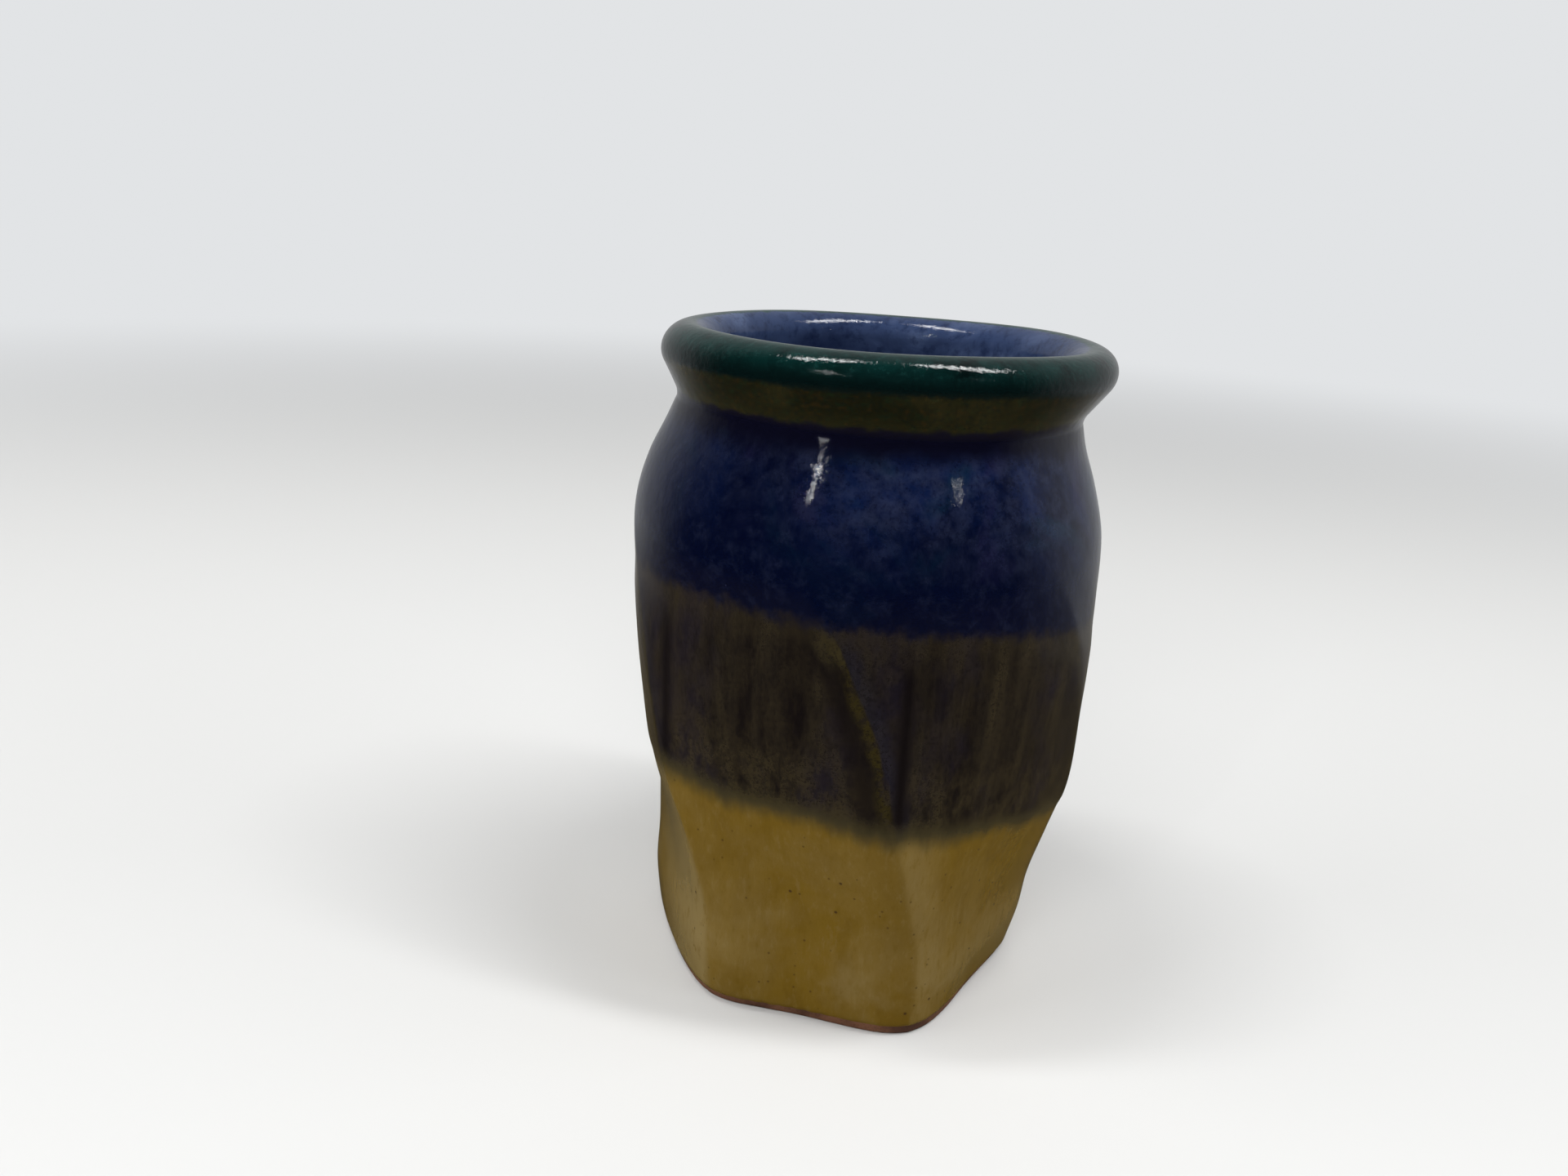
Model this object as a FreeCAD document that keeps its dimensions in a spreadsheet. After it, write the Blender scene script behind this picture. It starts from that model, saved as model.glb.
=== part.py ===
import FreeCAD, Part
import math
import os

import Sketcher
from FreeCAD import Vector

# Thrown and faceted stoneware jar. +Z is up, -Y is the front, and the origin is at the
# middle of the foot, on the surface that the jar stands on. Lengths are in millimetres
# and angles in degrees. Body sizes are of the fired clay, and each glaze adds its coat.
SIZES = {
    "clay_height": 129.5,
    "foot_reach": 38.2,
    "belly_reach": 46.9,
    # how far the neck draws in from the ridges of the belly
    "neck_setback": 8.1,
    # the wall's thickness behind a ridge, at the belly and down at the floor
    "wall": 5.2,
    "heel_wall": 11.0,
    "floor_thickness": 6.0,
    "foot_bevel": 0.8,
    # six ridges that lean round the jar as they rise
    "front_ridge_angle": 19.9,
    "twist_angle": 48.0,
    # the flared collar, which has this share of the fullest curve that fits under the lip
    "collar_height": 13.9,
    "collar_curve_share": 0.584,
    # the rolled lip stands out past the neck
    "lip_overhang": 4.3,
    "lip_roll": 4.3,
    # the round hollow left by throwing, widest at this share of the neck's height
    "inside_belly_share": 0.692,
    "inside_heel": 9.0,
    "throat": 8.0,
    # glaze coats and the lines that the dips left
    "coat": 0.5,
    "overlap_coat": 0.8,
    "bare_foot": 1.3,
    "lower_dip": 40.2,
    "upper_dip": 79.5,
    "dip_tilt_angle": 9.0,
    "dip_low_side_angle": 56.0,
    "green_edge": 5.8,
    # how far a cutting form runs past what it cuts
    "overrun": 2.0,
}

# Where the faceted wall is drawn, from the foot to the neck. Each row gives its height as a
# share of the neck's height, its reach as a share of the way from the foot's or the neck's
# reach to the belly's, its corner radius as a share of its reach, the part of each side that
# is one bowed arc, and its turn as a share of the twist.
OUTLINE_SHARES = {
    "foot": (0.0, 0.0, 0.42, 0.31, 0.0),
    "heel": (0.034, 0.08, 0.42, 0.29, 0.0),
    "low_wall": (0.09, 0.20, 0.40, 0.27, 0.01),
    "low_facet": (0.168, 0.25, 0.36, 0.27, 0.045),
    "facet": (0.28, 0.49, 0.30, 0.40, 0.155),
    "high_facet": (0.392, 0.80, 0.25, 0.63, 0.265),
    "low_belly": (0.504, 0.92, 0.25, 0.78, 0.35),
    "belly": (0.616, 1.0, 0.30, 0.85, 0.46),
    "high_belly": (0.728, 0.96, 0.42, 0.88, 0.62),
    "shoulder": (0.826, 0.83, 0.60, 0.90, 0.81),
    "round_shoulder": (0.905, 0.50, 0.80, 0.90, 0.92),
    "under_neck": (0.962, 0.17, 0.95, 0.90, 0.98),
    "neck": (1.0, 0.0, 1.0, 0.90, 1.0),
}
SHARE_NAMES = ("height", "reach", "corner", "side", "turn")
WIDEST_OUTLINE = "belly"

RIDGES = 6
FULL_TURN = 360
HALF_TURN = FULL_TURN / 2
QUARTER_TURN = FULL_TURN / 4
RIDGE_STEP = FULL_TURN / RIDGES
HALF_STEP = RIDGE_STEP / 2
# a sketch's own origin, then an item as a whole, its first end, its last end and its centre
ORIGIN, WHOLE, FIRST, LAST, MIDDLE = range(-1, 4)

# Sizes that follow from the ones above, as expressions of the spreadsheet.
BARE = "0"
COAT = "sizes.coat"
OVERLAP_COAT = "sizes.overlap_coat"
NECK_RADIUS = "(sizes.belly_reach - sizes.neck_setback)"
NECK_HEIGHT = "(sizes.clay_height - sizes.collar_height)"
ROLL_ACROSS = f"({NECK_RADIUS} + sizes.lip_overhang - sizes.lip_roll)"
ROLL_UP = "(sizes.clay_height - sizes.lip_roll)"
MOUTH = f"({ROLL_ACROSS} - sizes.lip_roll)"
# the fullest curve of the collar would run from the neck straight into the lip's roll
FULLEST_CURVE = (
    "(((sizes.lip_roll - sizes.lip_overhang)^2 + (sizes.collar_height - sizes.lip_roll)^2"
    " - sizes.lip_roll^2) / (2 * sizes.lip_overhang))")
COLLAR_CURVE = f"(sizes.collar_curve_share * {FULLEST_CURVE})"
INSIDE_BELLY = "(sizes.belly_reach - sizes.wall)"
INSIDE_BELLY_UP = f"(sizes.inside_belly_share * {NECK_HEIGHT})"
# the hollow's two long curves stand upright at the belly, and end at the floor and the throat
HEEL_SETBACK = f"({INSIDE_BELLY} - (sizes.foot_reach - sizes.heel_wall))"
LOW_SWEEP = (
    f"(({HEEL_SETBACK}^2 + ({INSIDE_BELLY_UP} - sizes.floor_thickness)^2) / (2 * {HEEL_SETBACK}))")
HIGH_SWEEP = (
    f"((({MOUTH} + sizes.throat - {INSIDE_BELLY})^2 + ({NECK_HEIGHT} - {INSIDE_BELLY_UP})^2"
    f" - sizes.throat^2) / (2 * ({INSIDE_BELLY} - {MOUTH})))")


def write_sheet(doc):
    """Put every size and share into the spreadsheet, one alias each."""
    sheet = doc.addObject("Spreadsheet::Sheet", "sizes")
    cells = dict(SIZES)
    for row, shares in OUTLINE_SHARES.items():
        for name, share in zip(SHARE_NAMES, shares):
            cells[f"{row}_{name}_share"] = share
    for line, (alias, number) in enumerate(cells.items(), start=1):
        sheet.set(f"A{line}", alias)
        sheet.set(f"B{line}", str(number))
        sheet.setAlias(f"B{line}", alias)
    doc.recompute()


def amount(item, expression):
    """Read an expression of the sheet as a plain number."""
    return float(item.Document.getObject("sizes").evalExpression(expression))


def polar(distance, way):
    """A point at a distance from the origin, in a direction given in degrees."""
    return Vector(distance * math.cos(math.radians(way)), distance * math.sin(math.radians(way)), 0)


def way_of(vector):
    """The direction of a vector, in degrees."""
    return math.degrees(math.atan2(vector.y, vector.x))


def arc(centre, radius, start_way, end_way):
    """An arc about a centre, counter-clockwise from one direction to another."""
    circle = Part.Circle(centre, Vector(0, 0, 1), radius)
    return Part.ArcOfCircle(circle, math.radians(start_way), math.radians(end_way))


def new_sketch(body, name, role):
    """Start a sketch on one of the body's own origin planes."""
    plane = next(item for item in body.Origin.OriginFeatures if item.Role == role)
    sketch = body.newObject("Sketcher::SketchObject", f"{body.Label}_{name}")
    sketch.AttachmentSupport = (plane, [""])
    sketch.MapMode = "FlatFace"
    return sketch


def plain(kind, *places):
    """A constraint that has no size."""
    return Sketcher.Constraint(kind, *places), None


def sized(sketch, kind, places, expression):
    """A constraint whose size is an expression of the sheet."""
    return Sketcher.Constraint(kind, *places, amount(sketch, expression)), expression


def point_at(sketch, item, place, across, up):
    """Two constraints that hold one point of a sketch at two expressions of the sheet."""
    return [
        sized(sketch, "DistanceX", (ORIGIN, FIRST, item, place), across),
        sized(sketch, "DistanceY", (ORIGIN, FIRST, item, place), up),
    ]


def constrain(sketch, rules):
    """Give a sketch its constraints at once, and tie the sized ones to the sheet."""
    numbers = sketch.addConstraint([constraint for constraint, expression in rules])
    for number, (constraint, expression) in zip(numbers, rules):
        if expression is not None:
            sketch.setExpression(f"Constraints[{number}]", f"({expression}) * 1 mm")


def reach_of(row):
    """The distance from the axis to the ridges at one outline, as an expression."""
    rows = list(OUTLINE_SHARES)
    end = "sizes.foot_reach" if rows.index(row) < rows.index(WIDEST_OUTLINE) else NECK_RADIUS
    return f"({end} + (sizes.belly_reach - {end}) * sizes.{row}_reach_share)"


def faceted_outline(body, row, coat):
    """Six rounded corners and six bowed sides, as twelve arcs that run into each other."""
    sketch = new_sketch(body, row, "XY_Plane")
    ring = f"{reach_of(row)} * (1 - sizes.{row}_corner_share)"
    corner = f"({reach_of(row)} * sizes.{row}_corner_share + {coat})"
    half_side = f"{HALF_STEP} * sizes.{row}_side_share"
    side = f"({corner} + {ring} / (2 * sin({half_side} * 1 deg)))"

    ring_size = amount(sketch, ring)
    corner_size = amount(sketch, corner)
    side_size = amount(sketch, side)
    half_side_way = amount(sketch, half_side)
    half_corner_way = HALF_STEP - half_side_way
    setback = polar(ring_size, HALF_STEP).x - polar(side_size - corner_size, half_side_way).x
    arcs = []
    rules = []
    for ridge in range(RIDGES):
        corner_item = 2 * ridge
        side_item = corner_item + 1
        next_item = (side_item + 1) % (2 * RIDGES)
        corner_way = RIDGE_STEP * ridge
        side_way = corner_way + HALF_STEP
        arcs.append(arc(
            polar(ring_size, corner_way), corner_size,
            corner_way - half_corner_way, corner_way + half_corner_way))
        arcs.append(arc(
            polar(setback, side_way), side_size,
            side_way - half_side_way, side_way + half_side_way))
        rules.append(plain("Coincident", corner_item, LAST, side_item, FIRST))
        rules.append(plain("Coincident", side_item, LAST, next_item, FIRST))
        rules.append(sized(sketch, "Radius", (corner_item,), corner))
        rules.append(sized(sketch, "Radius", (side_item,), side))
        for place, sign in ((FIRST, "-"), (LAST, "+")):
            join_way = f"(({corner_way} {sign} ({HALF_STEP} - {half_side})) * 1 deg)"
            rules += point_at(
                sketch, corner_item, place,
                f"{ring} * cos({corner_way} deg) + {corner} * cos({join_way})",
                f"{ring} * sin({corner_way} deg) + {corner} * sin({join_way})")
    sketch.addGeometry(arcs)
    constrain(sketch, rules)
    height = f"sizes.{row}_height_share * {NECK_HEIGHT}"
    turn = f"sizes.front_ridge_angle - {QUARTER_TURN} - sizes.twist_angle * sizes.{row}_turn_share"
    sketch.setExpression(".AttachmentOffset.Base.z", f"({height}) * 1 mm")
    sketch.setExpression(".AttachmentOffset.Rotation.Angle", f"({turn}) * 1 deg")
    return sketch


def lip_profile(body, coat, inside):
    """The rolled lip, the flared collar under it and a straight line down the mouth."""
    sketch = new_sketch(body, f"lip_{len(body.Group)}", "XZ_Plane")
    roll = f"sizes.lip_roll + {coat}"
    curve_across = f"{NECK_RADIUS} + {COLLAR_CURVE}"
    curve = f"{COLLAR_CURVE} - {coat}"

    roll_centre = Vector(amount(sketch, ROLL_ACROSS), amount(sketch, ROLL_UP), 0)
    roll_size = amount(sketch, roll)
    curve_centre = Vector(amount(sketch, curve_across), amount(sketch, NECK_HEIGHT), 0)
    curve_size = amount(sketch, curve)
    inside_size = amount(sketch, inside)
    # the flare is the straight line that touches both arcs
    between = roll_centre - curve_centre
    lean = math.degrees(math.asin((roll_size + curve_size) / between.Length))
    out_way = way_of(between) - lean - QUARTER_TURN
    flare_low = curve_centre - polar(curve_size, out_way)
    flare_high = roll_centre + polar(roll_size, out_way)
    neck_out = curve_centre - polar(curve_size, 0)
    neck_in = Vector(inside_size, curve_centre.y, 0)
    crest_in = roll_centre - polar(roll_size, 0)
    mouth_top = Vector(inside_size, roll_centre.y, 0)
    bottom, neck_arc, flare, roll_arc, ledge, mouth = range(6)
    sketch.addGeometry([
        Part.LineSegment(neck_in, neck_out),
        arc(curve_centre, curve_size, out_way + HALF_TURN, HALF_TURN),
        Part.LineSegment(flare_low, flare_high),
        arc(roll_centre, roll_size, out_way, HALF_TURN),
        Part.LineSegment(crest_in, mouth_top),
        Part.LineSegment(mouth_top, neck_in),
    ])

    constrain(sketch, [
        plain("Coincident", bottom, LAST, neck_arc, LAST),
        plain("Tangent", neck_arc, FIRST, flare, FIRST),
        plain("Tangent", flare, LAST, roll_arc, FIRST),
        plain("Coincident", roll_arc, LAST, ledge, FIRST),
        plain("Coincident", ledge, LAST, mouth, FIRST),
        plain("Coincident", mouth, LAST, bottom, FIRST),
        plain("Horizontal", bottom),
        plain("Horizontal", ledge),
        plain("Vertical", mouth),
        *point_at(sketch, neck_arc, MIDDLE, curve_across, NECK_HEIGHT),
        sized(sketch, "Radius", (neck_arc,), curve),
        *point_at(sketch, roll_arc, MIDDLE, ROLL_ACROSS, ROLL_UP),
        sized(sketch, "Radius", (roll_arc,), roll),
        *point_at(sketch, bottom, FIRST, inside, NECK_HEIGHT),
        sized(sketch, "DistanceY", (ORIGIN, FIRST, roll_arc, LAST), ROLL_UP),
    ])
    return sketch


def hollow_profile(body, inset):
    """Half of the round hollow: floor, heel, two belly arcs, throat and straight mouth."""
    sketch = new_sketch(body, f"hollow_{len(body.Group)}", "XZ_Plane")
    low_across = f"{INSIDE_BELLY} - {LOW_SWEEP}"
    high_across = f"{INSIDE_BELLY} - {HIGH_SWEEP}"
    low = f"{LOW_SWEEP} - {inset}"
    high = f"{HIGH_SWEEP} - {inset}"
    heel = f"sizes.inside_heel - {inset}"
    throat = f"sizes.throat + {inset}"
    mouth = f"{MOUTH} - {inset}"
    floor = f"sizes.floor_thickness + {inset}"

    low_centre = Vector(amount(sketch, low_across), amount(sketch, INSIDE_BELLY_UP), 0)
    high_centre = Vector(amount(sketch, high_across), amount(sketch, INSIDE_BELLY_UP), 0)
    low_size = amount(sketch, low)
    high_size = amount(sketch, high)
    heel_size = amount(sketch, heel)
    throat_size = amount(sketch, throat)
    mouth_size = amount(sketch, mouth)
    floor_size = amount(sketch, floor)
    top_size = amount(sketch, ROLL_UP)
    # the heel touches the floor and the low arc, and the throat the high arc and the mouth
    heel_up = floor_size + heel_size
    heel_run = math.sqrt((low_size - heel_size) ** 2 - (low_centre.y - heel_up) ** 2)
    heel_centre = Vector(low_centre.x + heel_run, heel_up, 0)
    heel_way = way_of(heel_centre - low_centre)
    throat_run = mouth_size + throat_size - high_centre.x
    throat_rise = math.sqrt((high_size + throat_size) ** 2 - throat_run ** 2)
    throat_centre = high_centre + Vector(throat_run, throat_rise, 0)
    throat_way = way_of(throat_centre - high_centre)
    floor_middle = Vector(0, floor_size, 0)
    floor_end = Vector(heel_centre.x, floor_size, 0)
    mouth_low = Vector(mouth_size, throat_centre.y, 0)
    mouth_high = Vector(mouth_size, top_size, 0)
    top_middle = Vector(0, top_size, 0)
    floor_line, heel_arc, low_arc, high_arc, throat_arc, mouth_line, top_line, axis = range(8)
    straight_down = -QUARTER_TURN
    sketch.addGeometry([
        Part.LineSegment(floor_middle, floor_end),
        arc(heel_centre, heel_size, straight_down, heel_way),
        arc(low_centre, low_size, heel_way, 0),
        arc(high_centre, high_size, 0, throat_way),
        arc(throat_centre, throat_size, HALF_TURN, throat_way + HALF_TURN),
        Part.LineSegment(mouth_low, mouth_high),
        Part.LineSegment(mouth_high, top_middle),
        Part.LineSegment(top_middle, floor_middle),
    ])

    constrain(sketch, [
        plain("Tangent", floor_line, LAST, heel_arc, FIRST),
        plain("Tangent", heel_arc, LAST, low_arc, FIRST),
        plain("Coincident", low_arc, LAST, high_arc, FIRST),
        plain("Tangent", high_arc, LAST, throat_arc, LAST),
        plain("Tangent", throat_arc, FIRST, mouth_line, FIRST),
        plain("Coincident", mouth_line, LAST, top_line, FIRST),
        plain("Coincident", top_line, LAST, axis, FIRST),
        plain("Coincident", axis, LAST, floor_line, FIRST),
        plain("Horizontal", floor_line),
        plain("Horizontal", top_line),
        plain("Vertical", mouth_line),
        *point_at(sketch, floor_line, FIRST, BARE, floor),
        *point_at(sketch, top_line, LAST, BARE, ROLL_UP),
        sized(sketch, "DistanceX", (ORIGIN, FIRST, mouth_line, LAST), mouth),
        *point_at(sketch, low_arc, MIDDLE, low_across, INSIDE_BELLY_UP),
        sized(sketch, "Radius", (low_arc,), low),
        sized(sketch, "DistanceY", (ORIGIN, FIRST, low_arc, LAST), INSIDE_BELLY_UP),
        *point_at(sketch, high_arc, MIDDLE, high_across, INSIDE_BELLY_UP),
        sized(sketch, "Radius", (heel_arc,), heel),
        sized(sketch, "Radius", (throat_arc,), throat),
    ])
    return sketch


def add_loft(body, kind, coat):
    """Run the twisted six-sided form from the foot to the neck through its outlines."""
    outlines = [faceted_outline(body, row, coat) for row in OUTLINE_SHARES]
    body.Document.recompute()
    loft = body.newObject(f"PartDesign::{kind}", f"{body.Label}_{kind}")
    loft.Profile = outlines[0]
    loft.Sections = outlines[1:]
    loft.Ruled = False
    body.Document.recompute()
    return loft


def add_turned(body, kind, sketch):
    """Turn a profile all the way round the jar's axis."""
    body.Document.recompute()
    turned = body.newObject(f"PartDesign::{kind}", f"{sketch.Label}_turned")
    turned.Profile = sketch
    turned.ReferenceAxis = (sketch, ["V_Axis"])
    turned.Angle = FULL_TURN
    body.Document.recompute()
    return turned


def new_body(doc, label):
    """Start a body under the name of its piece."""
    body = doc.addObject("PartDesign::Body", label)
    body.Label = label
    return body


def make_clay_body(doc):
    """The one fired piece: faceted wall and floor, collar, rolled lip and bare foot."""
    body = new_body(doc, "clay_body")
    add_loft(body, "AdditiveLoft", BARE)
    solid = add_turned(body, "Revolution", lip_profile(body, BARE, f"{MOUTH} - sizes.overrun"))
    hollowed = add_turned(body, "Groove", hollow_profile(body, BARE))
    if hollowed.Shape.Volume >= solid.Shape.Volume:
        raise RuntimeError("the hollow cuts nothing")
    foot_edges = [
        f"Edge{number}" for number, edge in enumerate(hollowed.Shape.Edges, start=1)
        if edge.BoundBox.ZMax < amount(body, "sizes.foot_bevel") and edge.BoundBox.DiagonalLength > 0]
    bevel = body.newObject("PartDesign::Chamfer", "clay_body_bevel")
    bevel.Base = (hollowed, foot_edges)
    bevel.setExpression("Size", "sizes.foot_bevel * 1 mm")
    doc.recompute()
    return body


def make_wall_coat(doc, label, coat):
    """A skin of glaze all over the outside of the wall, before the dips trim it."""
    body = new_body(doc, label)
    full = add_loft(body, "AdditiveLoft", coat)
    skin = add_loft(body, "SubtractiveLoft", BARE)
    if skin.Shape.Volume >= full.Shape.Volume:
        raise RuntimeError(f"{label} is not a skin")
    return body


def make_lip_coat(doc):
    """A skin of glaze over the collar and the lip, before it is parted at the green edge."""
    body = new_body(doc, "lip_coat")
    add_turned(body, "Revolution", lip_profile(body, COAT, MOUTH))
    add_turned(body, "Groove", lip_profile(body, BARE, f"{MOUTH} - sizes.overrun"))
    return body


def make_liner_glaze(doc):
    """The coat inside, from the middle of the floor up to the lip."""
    body = new_body(doc, "liner_glaze")
    add_turned(body, "Revolution", hollow_profile(body, BARE))
    add_turned(body, "Groove", hollow_profile(body, COAT))
    return body


def make_block_over(doc, name, height, tilt, low_side):
    """Everything above a level that drops by the tilt towards its low side."""
    block = doc.addObject("Part::Cylinder", name)
    block.setExpression("Radius", "2 * sizes.belly_reach * 1 mm")
    block.setExpression("Height", "2 * sizes.clay_height * 1 mm")
    block.setExpression("Placement", f"placement(vector(0; 0; {height}); rotation({low_side}; {tilt}; 0))")
    return block


def combine(doc, kind, label, base, tool):
    """Cut one form with another, or keep what the two share."""
    result = doc.addObject(f"Part::{kind}", label)
    result.Base = base
    result.Tool = tool
    return result


def make_outside_glazes(doc):
    """Part the skins at the foot, the two dip lines and the green edge."""
    wall_coat = make_wall_coat(doc, "wall_coat", COAT)
    thick_coat = make_wall_coat(doc, "thick_coat", OVERLAP_COAT)
    lip_coat = make_lip_coat(doc)
    level = ("0", "0")
    dipped = ("sizes.dip_tilt_angle", "sizes.dip_low_side_angle")
    over_foot = make_block_over(doc, "over_foot", "sizes.bare_foot", *level)
    over_lower_dip = make_block_over(doc, "over_lower_dip", "sizes.lower_dip", *dipped)
    over_upper_dip = make_block_over(doc, "over_upper_dip", "sizes.upper_dip", *dipped)
    over_green_edge = make_block_over(
        doc, "over_green_edge", "sizes.clay_height - sizes.green_edge", *level)
    over_bare_foot = combine(doc, "Common", "over_bare_foot", wall_coat, over_foot)
    over_cream = combine(doc, "Common", "over_cream", thick_coat, over_lower_dip)
    return [
        combine(doc, "Cut", "cream_glaze", over_bare_foot, over_lower_dip),
        combine(doc, "Cut", "overlap_glaze", over_cream, over_upper_dip),
        combine(doc, "Common", "blue_glaze", wall_coat, over_upper_dip),
        combine(doc, "Cut", "collar_glaze", lip_coat, over_green_edge),
        combine(doc, "Common", "rim_glaze", lip_coat, over_green_edge),
    ]


def check(doc, pieces):
    """Stop if anything in the document failed, or a piece isn't one sound closed solid."""
    for item in doc.Objects:
        if "Invalid" in item.State or "Error" in item.State:
            raise RuntimeError(f"{item.Label} failed: {item.State}")
    for piece in pieces:
        shape = piece.Shape
        if shape.isNull() or not shape.isValid() or len(shape.Solids) != 1:
            raise RuntimeError(f"{piece.Label} is not one sound solid")


def main():
    doc = FreeCAD.newDocument("jar")
    write_sheet(doc)
    pieces = [make_clay_body(doc), make_liner_glaze(doc)]
    pieces += make_outside_glazes(doc)
    doc.recompute()
    check(doc, pieces)
    os.makedirs("parts", exist_ok=True)
    for piece in pieces:
        piece.Shape.exportStep(f"parts/{piece.Label}.step")
        print(f"{piece.Label}: {piece.Shape.Volume:.0f} mm3")


main()
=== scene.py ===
import math

import bpy
import numpy as np
from bpy.props import FloatProperty, FloatVectorProperty, PointerProperty
from mathutils import Matrix, Vector


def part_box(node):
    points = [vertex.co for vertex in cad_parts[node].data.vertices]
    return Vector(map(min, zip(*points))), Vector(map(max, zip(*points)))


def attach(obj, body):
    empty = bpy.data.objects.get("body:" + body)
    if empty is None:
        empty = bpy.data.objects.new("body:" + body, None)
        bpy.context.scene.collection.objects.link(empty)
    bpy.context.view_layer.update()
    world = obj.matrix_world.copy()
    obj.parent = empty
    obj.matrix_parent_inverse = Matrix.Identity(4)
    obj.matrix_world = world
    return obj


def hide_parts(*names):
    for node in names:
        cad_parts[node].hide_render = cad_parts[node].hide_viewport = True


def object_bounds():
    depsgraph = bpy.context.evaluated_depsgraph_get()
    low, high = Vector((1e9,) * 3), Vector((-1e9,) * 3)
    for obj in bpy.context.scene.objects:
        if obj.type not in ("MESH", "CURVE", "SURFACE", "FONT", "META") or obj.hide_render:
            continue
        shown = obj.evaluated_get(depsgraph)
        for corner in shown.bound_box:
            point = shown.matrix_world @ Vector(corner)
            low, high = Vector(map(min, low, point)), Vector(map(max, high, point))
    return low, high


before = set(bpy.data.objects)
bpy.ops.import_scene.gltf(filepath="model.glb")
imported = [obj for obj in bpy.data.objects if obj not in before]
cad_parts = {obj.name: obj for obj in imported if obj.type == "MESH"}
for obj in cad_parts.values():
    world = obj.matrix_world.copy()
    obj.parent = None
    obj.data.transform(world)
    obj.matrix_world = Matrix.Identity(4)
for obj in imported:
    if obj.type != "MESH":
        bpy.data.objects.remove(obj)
CAD_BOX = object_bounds()

# A thrown stoneware jar, pressed into six twisted facets and dipped in three glazes. Lengths
# are in metres. +Z is up, -Y is the front, and the jar stands on the floor at the origin.
bl_info = {
    "name": "Dipped stoneware jar",
    "version": (1, 0, 0),
    "blender": (4, 5, 0),
    "location": "3D View > Sidebar > Jar",
    "description": "Clay, dipped glazes and a plain stage for a twisted stoneware jar",
    "category": "Add Mesh",
}

MM = 0.001
RIDGES = 6
RIDGE_STEP = math.tau / RIDGES
COLUMNS = 108 * RIDGES
# How far the solids reach from the axis, and heights of their edges.
REACH_LIMIT = CAD_BOX[1].y
FOOT_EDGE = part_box("cream_glaze")[0].z
INSIDE_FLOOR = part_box("liner_glaze")[0].z
GREEN_EDGE, LIP_TOP = (corner.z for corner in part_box("rim_glaze"))

# Outlines of the faceted wall from the foot to the neck: height as a share of the neck's,
# reach as a share of the way from the foot or the neck to the belly, corner radius as a share
# of the reach, the part of each side that is one bowed arc, and turn as a share of the twist.
OUTLINE_SHARES = (
    (0.0, 0.0, 0.42, 0.31, 0.0),
    (0.034, 0.08, 0.42, 0.29, 0.0),
    (0.09, 0.20, 0.40, 0.27, 0.01),
    (0.168, 0.25, 0.36, 0.27, 0.045),
    (0.28, 0.49, 0.30, 0.40, 0.155),
    (0.392, 0.80, 0.25, 0.63, 0.265),
    (0.504, 0.92, 0.25, 0.78, 0.35),
    (0.616, 1.0, 0.30, 0.85, 0.46),
    (0.728, 0.96, 0.42, 0.88, 0.62),
    (0.826, 0.83, 0.60, 0.90, 0.81),
    (0.905, 0.50, 0.80, 0.90, 0.92),
    (0.962, 0.17, 0.95, 0.90, 0.98),
    (1.0, 0.0, 1.0, 0.90, 1.0),
)
BELLY_ROW = 7
# The height of the widest place inside, as a share of the neck's.
INSIDE_BELLY_SHARE = 0.692
# How sharp each ridge was pressed, counted anticlockwise from the front one.
RIDGE_SHARES = (1.0, 0.65, 0.8, 0.55, 0.75, 0.85)
# How far the jar leans off its own axis on the way up, as (height share, sideways millimetres).
LEAN_ROWS = ((0.0, -1.6), (0.3, 0.0), (0.6, 0.0), (0.85, -0.4), (0.93, 0.6), (1.0, 1.4))
# Angles from the front ridge: how far its pinch spreads, where the foot swells and how widely,
# how widely the left ridge drifts, and how widely the glaze was wiped off the front of the foot.
PINCH_SPREAD = math.radians(24)
BULGE_WAY = math.radians(-62)
BULGE_SPREAD = math.radians(36)
DRIFT_SPREAD = math.radians(20)
WIPE_SPREAD = math.radians(50)
# The direction, from +X, in which the upper dip line rises most.
SAG_WAY = math.radians(-20)

# The least room that a pinched ridge has before the solids' reach.
LEAST_ROOM = 0.04 * MM
# The way along the inside at which rows start, beside the axis.
MIDDLE = 1.0 * MM
# How far the liner counts as past the green edge.
PAST_GREEN = 20 * MM

# Lamps: name, degrees to the right and up from the jar, distance, width, height, watts, and
# whether the glaze mirrors them. Lengths are in metres.
LAMPS = (
    ("overhead_left", -83, 72, 1.0, 0.07, 0.34, 2.6, True),
    ("overhead_right", 71, 66, 1.0, 0.08, 0.56, 4.2, True),
    ("front_left", -33, 32, 1.1, 0.003, 0.14, 0.32, True),
    ("front_right", 43, 28.6, 1.1, 0.007, 0.014, 0.034, True),
    ("soft_front", -10, 35, 1.6, 1.3, 1.3, 14, False),
    ("soft_left", -80, 15, 1.6, 1.3, 1.3, 17, False),
    ("soft_right", 80, 15, 1.6, 1.3, 1.3, 13, False),
)
LAMP_TARGET = Vector((0.0, 0.0, 0.1))
# The way from the jar to the middle of the room's light.
BEHIND = (0.26, 0.96, 0.0)
# Radii of the floor's rings in metres, and how many corners each ring has.
FLOOR_RINGS = (0.1, 0.2, 0.4, 0.8, 1.6, 3.2, 6.0)
FLOOR_SPOKES = 96
# Width of the camera's sensor in millimetres.
SENSOR_WIDTH = 36.0


def length(name, description, millimetres):
    """A length that a user can set."""
    return FloatProperty(
        name=name, description=description, default=millimetres * MM, unit="LENGTH", precision=4)


def angle(name, description, degrees):
    """An angle that a user can set."""
    return FloatProperty(
        name=name, description=description, default=math.radians(degrees), subtype="ANGLE")


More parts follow.
